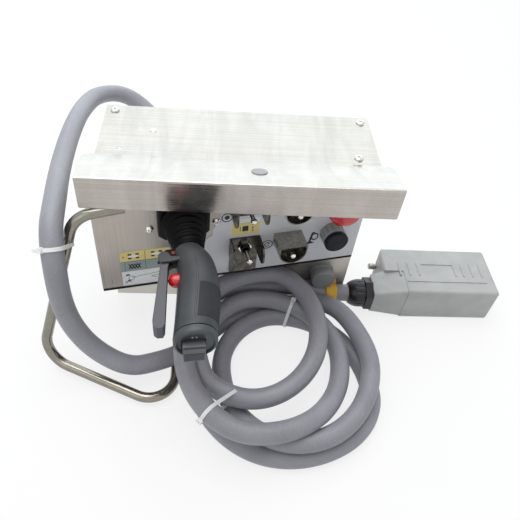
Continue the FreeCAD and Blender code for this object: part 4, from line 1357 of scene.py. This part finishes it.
    def pad(self) -> None:
        """Ribbed side pad: a raised patch of the skin with diamonds, a product of sines."""
        rows, columns = self.pad_grid
        height = np.linspace(*self.pad_heights, rows)
        turn = np.radians(np.linspace(*self.pad_angles, columns))
        ends = np.minimum(height - height[0], height[-1] - height)
        rim = np.minimum.outer(ends, self.pad_radius * np.minimum(turn[0] - turn, turn - turn[-1]))
        slope, girth = height[:, None], self.pad_radius * turn[None, :]
        diamonds = (np.sin(np.pi * (slope + girth) / self.pad_rib)
                    * np.sin(np.pi * (slope - girth) / self.pad_rib))
        rise = self.pad_rise * np.clip(rim / 0.8, 0.0, 1.0)
        rise = rise + self.rib_rise * diamonds * np.clip(rim / 1.6 - 0.6, 0.0, 1.0)
        top, under = (self.skin(height, turn, proud) for proud in (rise, self.pad_root))
        index = np.arange(rows * columns).reshape(rows, columns)
        outline = np.concatenate([index[:, 0], index[-1, 1:], index[-2::-1, -1], index[0, -2:0:-1]])
        edges = np.stack([face.reshape(-1, 3)[outline] for face in (top, under)])
        shell = Shell().grid(top, False, False).grid(under, False, False).grid(edges, False, True)
        pad = shell.piece("ribbed_pad", PAD_RUBBER, "joystick", "grip_rubber", 50.0)
        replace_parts(pad, "grip_pad")

    def seam(self) -> None:
        """Raised parting line along the handle: a half round bead that fades out at its ends."""
        along = np.linspace(self.seam_start, self.joint - 1.5, 60)
        across = np.linspace(0.0, FULL_TURN, 12, endpoint=False)
        ends = np.minimum(along - along[0], along[-1] - along)
        proud = 0.02 + 0.5 * np.sin(across) * np.clip(ends / 4.0, 0.1, 1.0)[:, None]
        rows = self.skin(along, np.radians(self.seam_angle) + np.cos(across) * 0.045, proud)
        Shell().tube(rows).piece("grip_seam", CHARCOAL_CAP, "joystick", "grip_charcoal")

    def build(self) -> None:
        """Makes the boot and the handle and dresses the joystick's nodes."""
        dress(BLACK_PLASTIC, "boot_flange", "joystick_housing")
        dress(ROD_STEEL, "lever_shaft", "pivot_pin", "rocker_pin")
        dress(PIN_BLACK, "trigger_pin")
        dress(NICKEL, "joystick_screws")
        dress(TRIGGER_GREY, "trigger_lever")
        dress(LAMP_RED, "grip_led")
        self.boot()
        self.handle()
        self.lug()
        self.plunger()
        self.cap()
        self.rocker()
        self.pad()
        self.seam()


@dataclass
class Switches:
    """Toggles with their guards, push button and emergency stop."""

    button: Spot = (273.0, 50.0)
    bezel_profile: tuple[Spot, ...] = (
        (7.0, -22.0), (10.9, -22.0), (10.9, 0.5), (13.9, 0.5), (14.75, 1.2), (14.75, 6.6),
        (14.75, 12.4), (14.4, 13.8), (13.6, 14.5), (7.0, 14.5))
    flutes: int = 14
    flute_depth: float = 1.2
    flute_span: Spot = (1.0, 13.0)
    dark_plate: tuple[Spot, Spot] = ((148.4, 3.0), (181.6, 31.6))
    dark_plate_levels: Spot = (0.5, 2.5)

    def bezel(self) -> None:
        """Fluted button bezel: a turned ring whose rim dips as a cosine of the angle."""
        steps = 12 * self.flutes
        height = np.array(self.bezel_profile)[:, 1]
        angle = np.linspace(0.0, FULL_TURN, steps, endpoint=False)
        low, high = self.flute_span
        depth = np.where((height > low) & (height < high), self.flute_depth, 0.0)
        flute = -depth[:, None] * (0.5 + 0.5 * np.cos(self.flutes * angle)) ** 4
        rows = PANEL.moved(*self.button, 0.0).turned(self.bezel_profile, steps, flute)
        shell = Shell().grid(rows, True, True)
        bezel = shell.piece("fluted_bezel", DEVICE_GREY, "base", "device_grey", 30.0)
        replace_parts(bezel, "button_bezel")

    def dark_plate_below_guard(self) -> None:
        """Dark plate below the left guard, down to the panel's lower edge."""
        shell = Shell().plate(PANEL, rounded(*self.dark_plate, 0.6), *self.dark_plate_levels)
        shell.piece("dark_plate_below_guard", DARK_ZINC, "base")

    def build(self) -> None:
        """Makes the bezel and the dark plate below the left guard and dresses the switch gear."""
        dress(BLACK_PLASTIC, "toggle_cases", "contact_blocks", "device_nuts", "estop_collar",
              "estop_stem")
        dress(NICKEL, "toggle_nuts", "lever_left_low", "lever_left_high", "lever_right_low",
              "lever_right_high")
        dress(GUARD_STEEL, "ring_guards")
        dress(DARK_ZINC, "ear_guards")
        dress(CAP_BLACK, "button_cap")
        dress(STOP_RED, "estop_mushroom")
        self.bezel()
        self.dark_plate_below_guard()


@dataclass
class CablePlug:
    """Heavy plug at the cable's end, with its gland."""

    entry: Point = (188.0, -52.5, 27.0)
    nut_profile: tuple[Spot, ...] = (
        (14.1, 10.1), (18.2, 10.1), (18.6, 10.6), (18.6, 14.0), (18.6, 18.0), (18.3, 20.5),
        (17.5, 23.6), (16.6, 26.0), (15.4, 28.4), (14.2, 30.2), (13.2, 31.0), (11.8, 31.0),
        (11.8, 20.4), (14.1, 20.4))
    flutes: int = 14
    flute_run: tuple[float, ...] = (10.3, 11.2, 19.0, 25.0)

    def gland_nut(self) -> Piece:
        """Domed gland nut: a turned profile with flutes, each a squared cosine of the angle.

        Returns:
            The nut's object.
        """
        seat = Seat(self.entry, (0.0, 1.0, 0.0), (0.0, 0.0, 1.0), (-1.0, 0.0, 0.0))
        steps = 10 * self.flutes
        angle = np.linspace(0.0, FULL_TURN, steps, endpoint=False)
        depth = np.interp(np.array(self.nut_profile)[:, 1], self.flute_run, (0.0, 1.0, 1.0, 0.0))
        flute = -depth[:, None] * np.maximum(np.cos(self.flutes * angle), 0.0) ** 2
        shell = Shell().grid(seat.turned(self.nut_profile, steps, flute), True, True)
        nut = shell.piece("fluted_gland_nut", GLAND_BLACK, "base", "black_plastic", 35.0)
        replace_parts(nut, "connector_gland_nut")
        return nut

    def build(self) -> Piece:
        """Dresses the plug and makes its gland nut.

        Returns:
            The nut's object.
        """
        dress(HOOD_PAINT, "connector_hood")
        dress(INSERT_CREAM, "connector_insert")
        dress(GUARD_STEEL, "insert_screws", "connector_pegs")
        dress(GLAND_BLACK, "connector_gland")
        return self.gland_nut()


@dataclass
class InnerParts:
    """Board and terminals inside the box."""

    def build(self) -> None:
        """Gives the inner parts their finishes."""
        dress(BOARD, "circuit_board")
        dress(NICKEL, "board_spacers")
        dress(STRIP, "terminal_strip")


@dataclass
class Softbox:
    """Oblong lamp that faces a point and is seen only in reflections."""

    name: str
    place: Point
    size: Spot
    power: float
    colour: Colour = (1.0, 1.0, 1.0)
    target: Point = (0.0, -0.08, 0.10)

    def build(self) -> None:
        """Hangs the lamp and turns it to its target."""
        lamp = bpy.data.lights.new(self.name, "AREA")
        lamp.shape, lamp.energy, lamp.color = "RECTANGLE", self.power, self.colour
        lamp.size, lamp.size_y = self.size
        holder = bpy.data.objects.new(self.name, lamp)
        holder.location = self.place
        aim = Vector(self.target) - Vector(self.place)
        holder.rotation_euler = aim.to_track_quat("-Z", "Y").to_euler()
        holder.visible_camera = False
        bpy.context.scene.collection.objects.link(holder)


@dataclass
class Studio:
    """Pale floor, soft lamps, white surroundings and the camera, in metres."""

    eye: Point = (-0.03353, -0.53018, 0.60178)
    right: Point = (0.99514, -0.04242, 0.08887)
    down: Point = (0.0292, -0.73476, -0.6777)
    forward: Point = (0.09404, 0.677, -0.72995)
    lens: float = 38.85
    sensor: float = 36.0
    nearest: float = 0.01
    floor_size: float = 8.0
    floor_gap: float = 0.0003
    floor_lift: float = 0.78
    floor_cells: float = 7.0
    daylight: float = 0.44
    sky: Colour = (0.96, 0.98, 1.0)
    lamps: tuple[Softbox, ...] = (
        Softbox("back_softbox", (0.15, 1.7, 1.15), (2.4, 2.2), 18.0, (0.84, 1.0, 1.06),
                (0.15, 0.0, 1.0)),
        Softbox("top_softbox", (-0.25, 0.15, 1.75), (1.5, 1.5), 23.0),
        Softbox("front_softbox", (-1.1, -1.5, 1.3), (1.2, 1.2), 3.0),
    )

    def camera(self) -> None:
        """Stands the camera where the photograph was taken from."""
        data = bpy.data.cameras.new("photo_camera")
        data.lens, data.sensor_width, data.sensor_fit = self.lens, self.sensor, "AUTO"
        data.clip_start = self.nearest
        camera = bpy.data.objects.new("photo_camera", data)
        stand = np.eye(4)
        stand[:3, :3] = np.stack([self.right, -np.array(self.down), -np.array(self.forward)], -1)
        stand[:3, 3] = self.eye
        camera.matrix_world = Matrix(stand.tolist())
        bpy.context.scene.collection.objects.link(camera)
        bpy.context.scene.camera = camera

    def surroundings(self) -> None:
        """White where it is seen or reflected, and soft daylight elsewhere."""
        world = bpy.data.worlds.new("studio")
        bpy.context.scene.world = world
        sheet = NodeSheet(world)
        sheet.tree.nodes.clear()
        light = sheet.add("Background", Color=(*self.sky, 1.0), Strength=self.daylight)
        white = sheet.add("Background", Color=WHITE)
        sheet.add("OutputWorld", Surface=sheet.mixed(sheet.seen(), light, white))

    def floor(self) -> None:
        """Pale floor that is lifted towards white where it is seen, and keeps its shadows."""
        material = bpy.data.materials.new("pale_floor")
        sheet = NodeSheet(material)
        speck = sheet.noise(self.floor_cells, 3.0)
        colour = sheet.shades(speck, (0.90, 0.90, 0.90), (0.93, 0.93, 0.92))
        sheet.feed(sheet.shader, Base_Color=colour, Roughness=0.8)
        glow = sheet.add("Emission", Color=WHITE, Strength=1.0)
        lift = sheet.combined("MULTIPLY", sheet.seen(), self.floor_lift)
        end = sheet.tree.nodes["Material Output"]
        sheet.feed(end, Surface=sheet.mixed(lift, sheet.shader, glow))
        corners = np.array([(-1, -1), (1, -1), (1, 1), (-1, 1)]) * self.floor_size / 2
        mesh = bpy.data.meshes.new("studio_floor")
        mesh.from_pydata(np.c_[corners, np.full(4, -self.floor_gap)].tolist(), [], [(0, 1, 2, 3)])
        mesh.materials.append(material)
        floor = bpy.data.objects.new("studio_floor", mesh)
        bpy.context.scene.collection.objects.link(floor)

    def build(self) -> None:
        """Sets the stage, the lamps and the camera."""
        bpy.context.scene.view_settings.view_transform = "Standard"
        self.floor()
        self.surroundings()
        for lamp in self.lamps:
            lamp.build()
        self.camera()


def main() -> None:
    """Builds the sub-assemblies in order."""
    logging.basicConfig(level=logging.INFO, format="%(name)s: %(message)s")
    Studio().build()
    ControlCable().build(CablePlug().build())
    SteelBox().build()
    PanelPrints().build()
    Joystick().build()
    Switches().build()
    InnerParts().build()


if __name__ == "__main__":
    main()
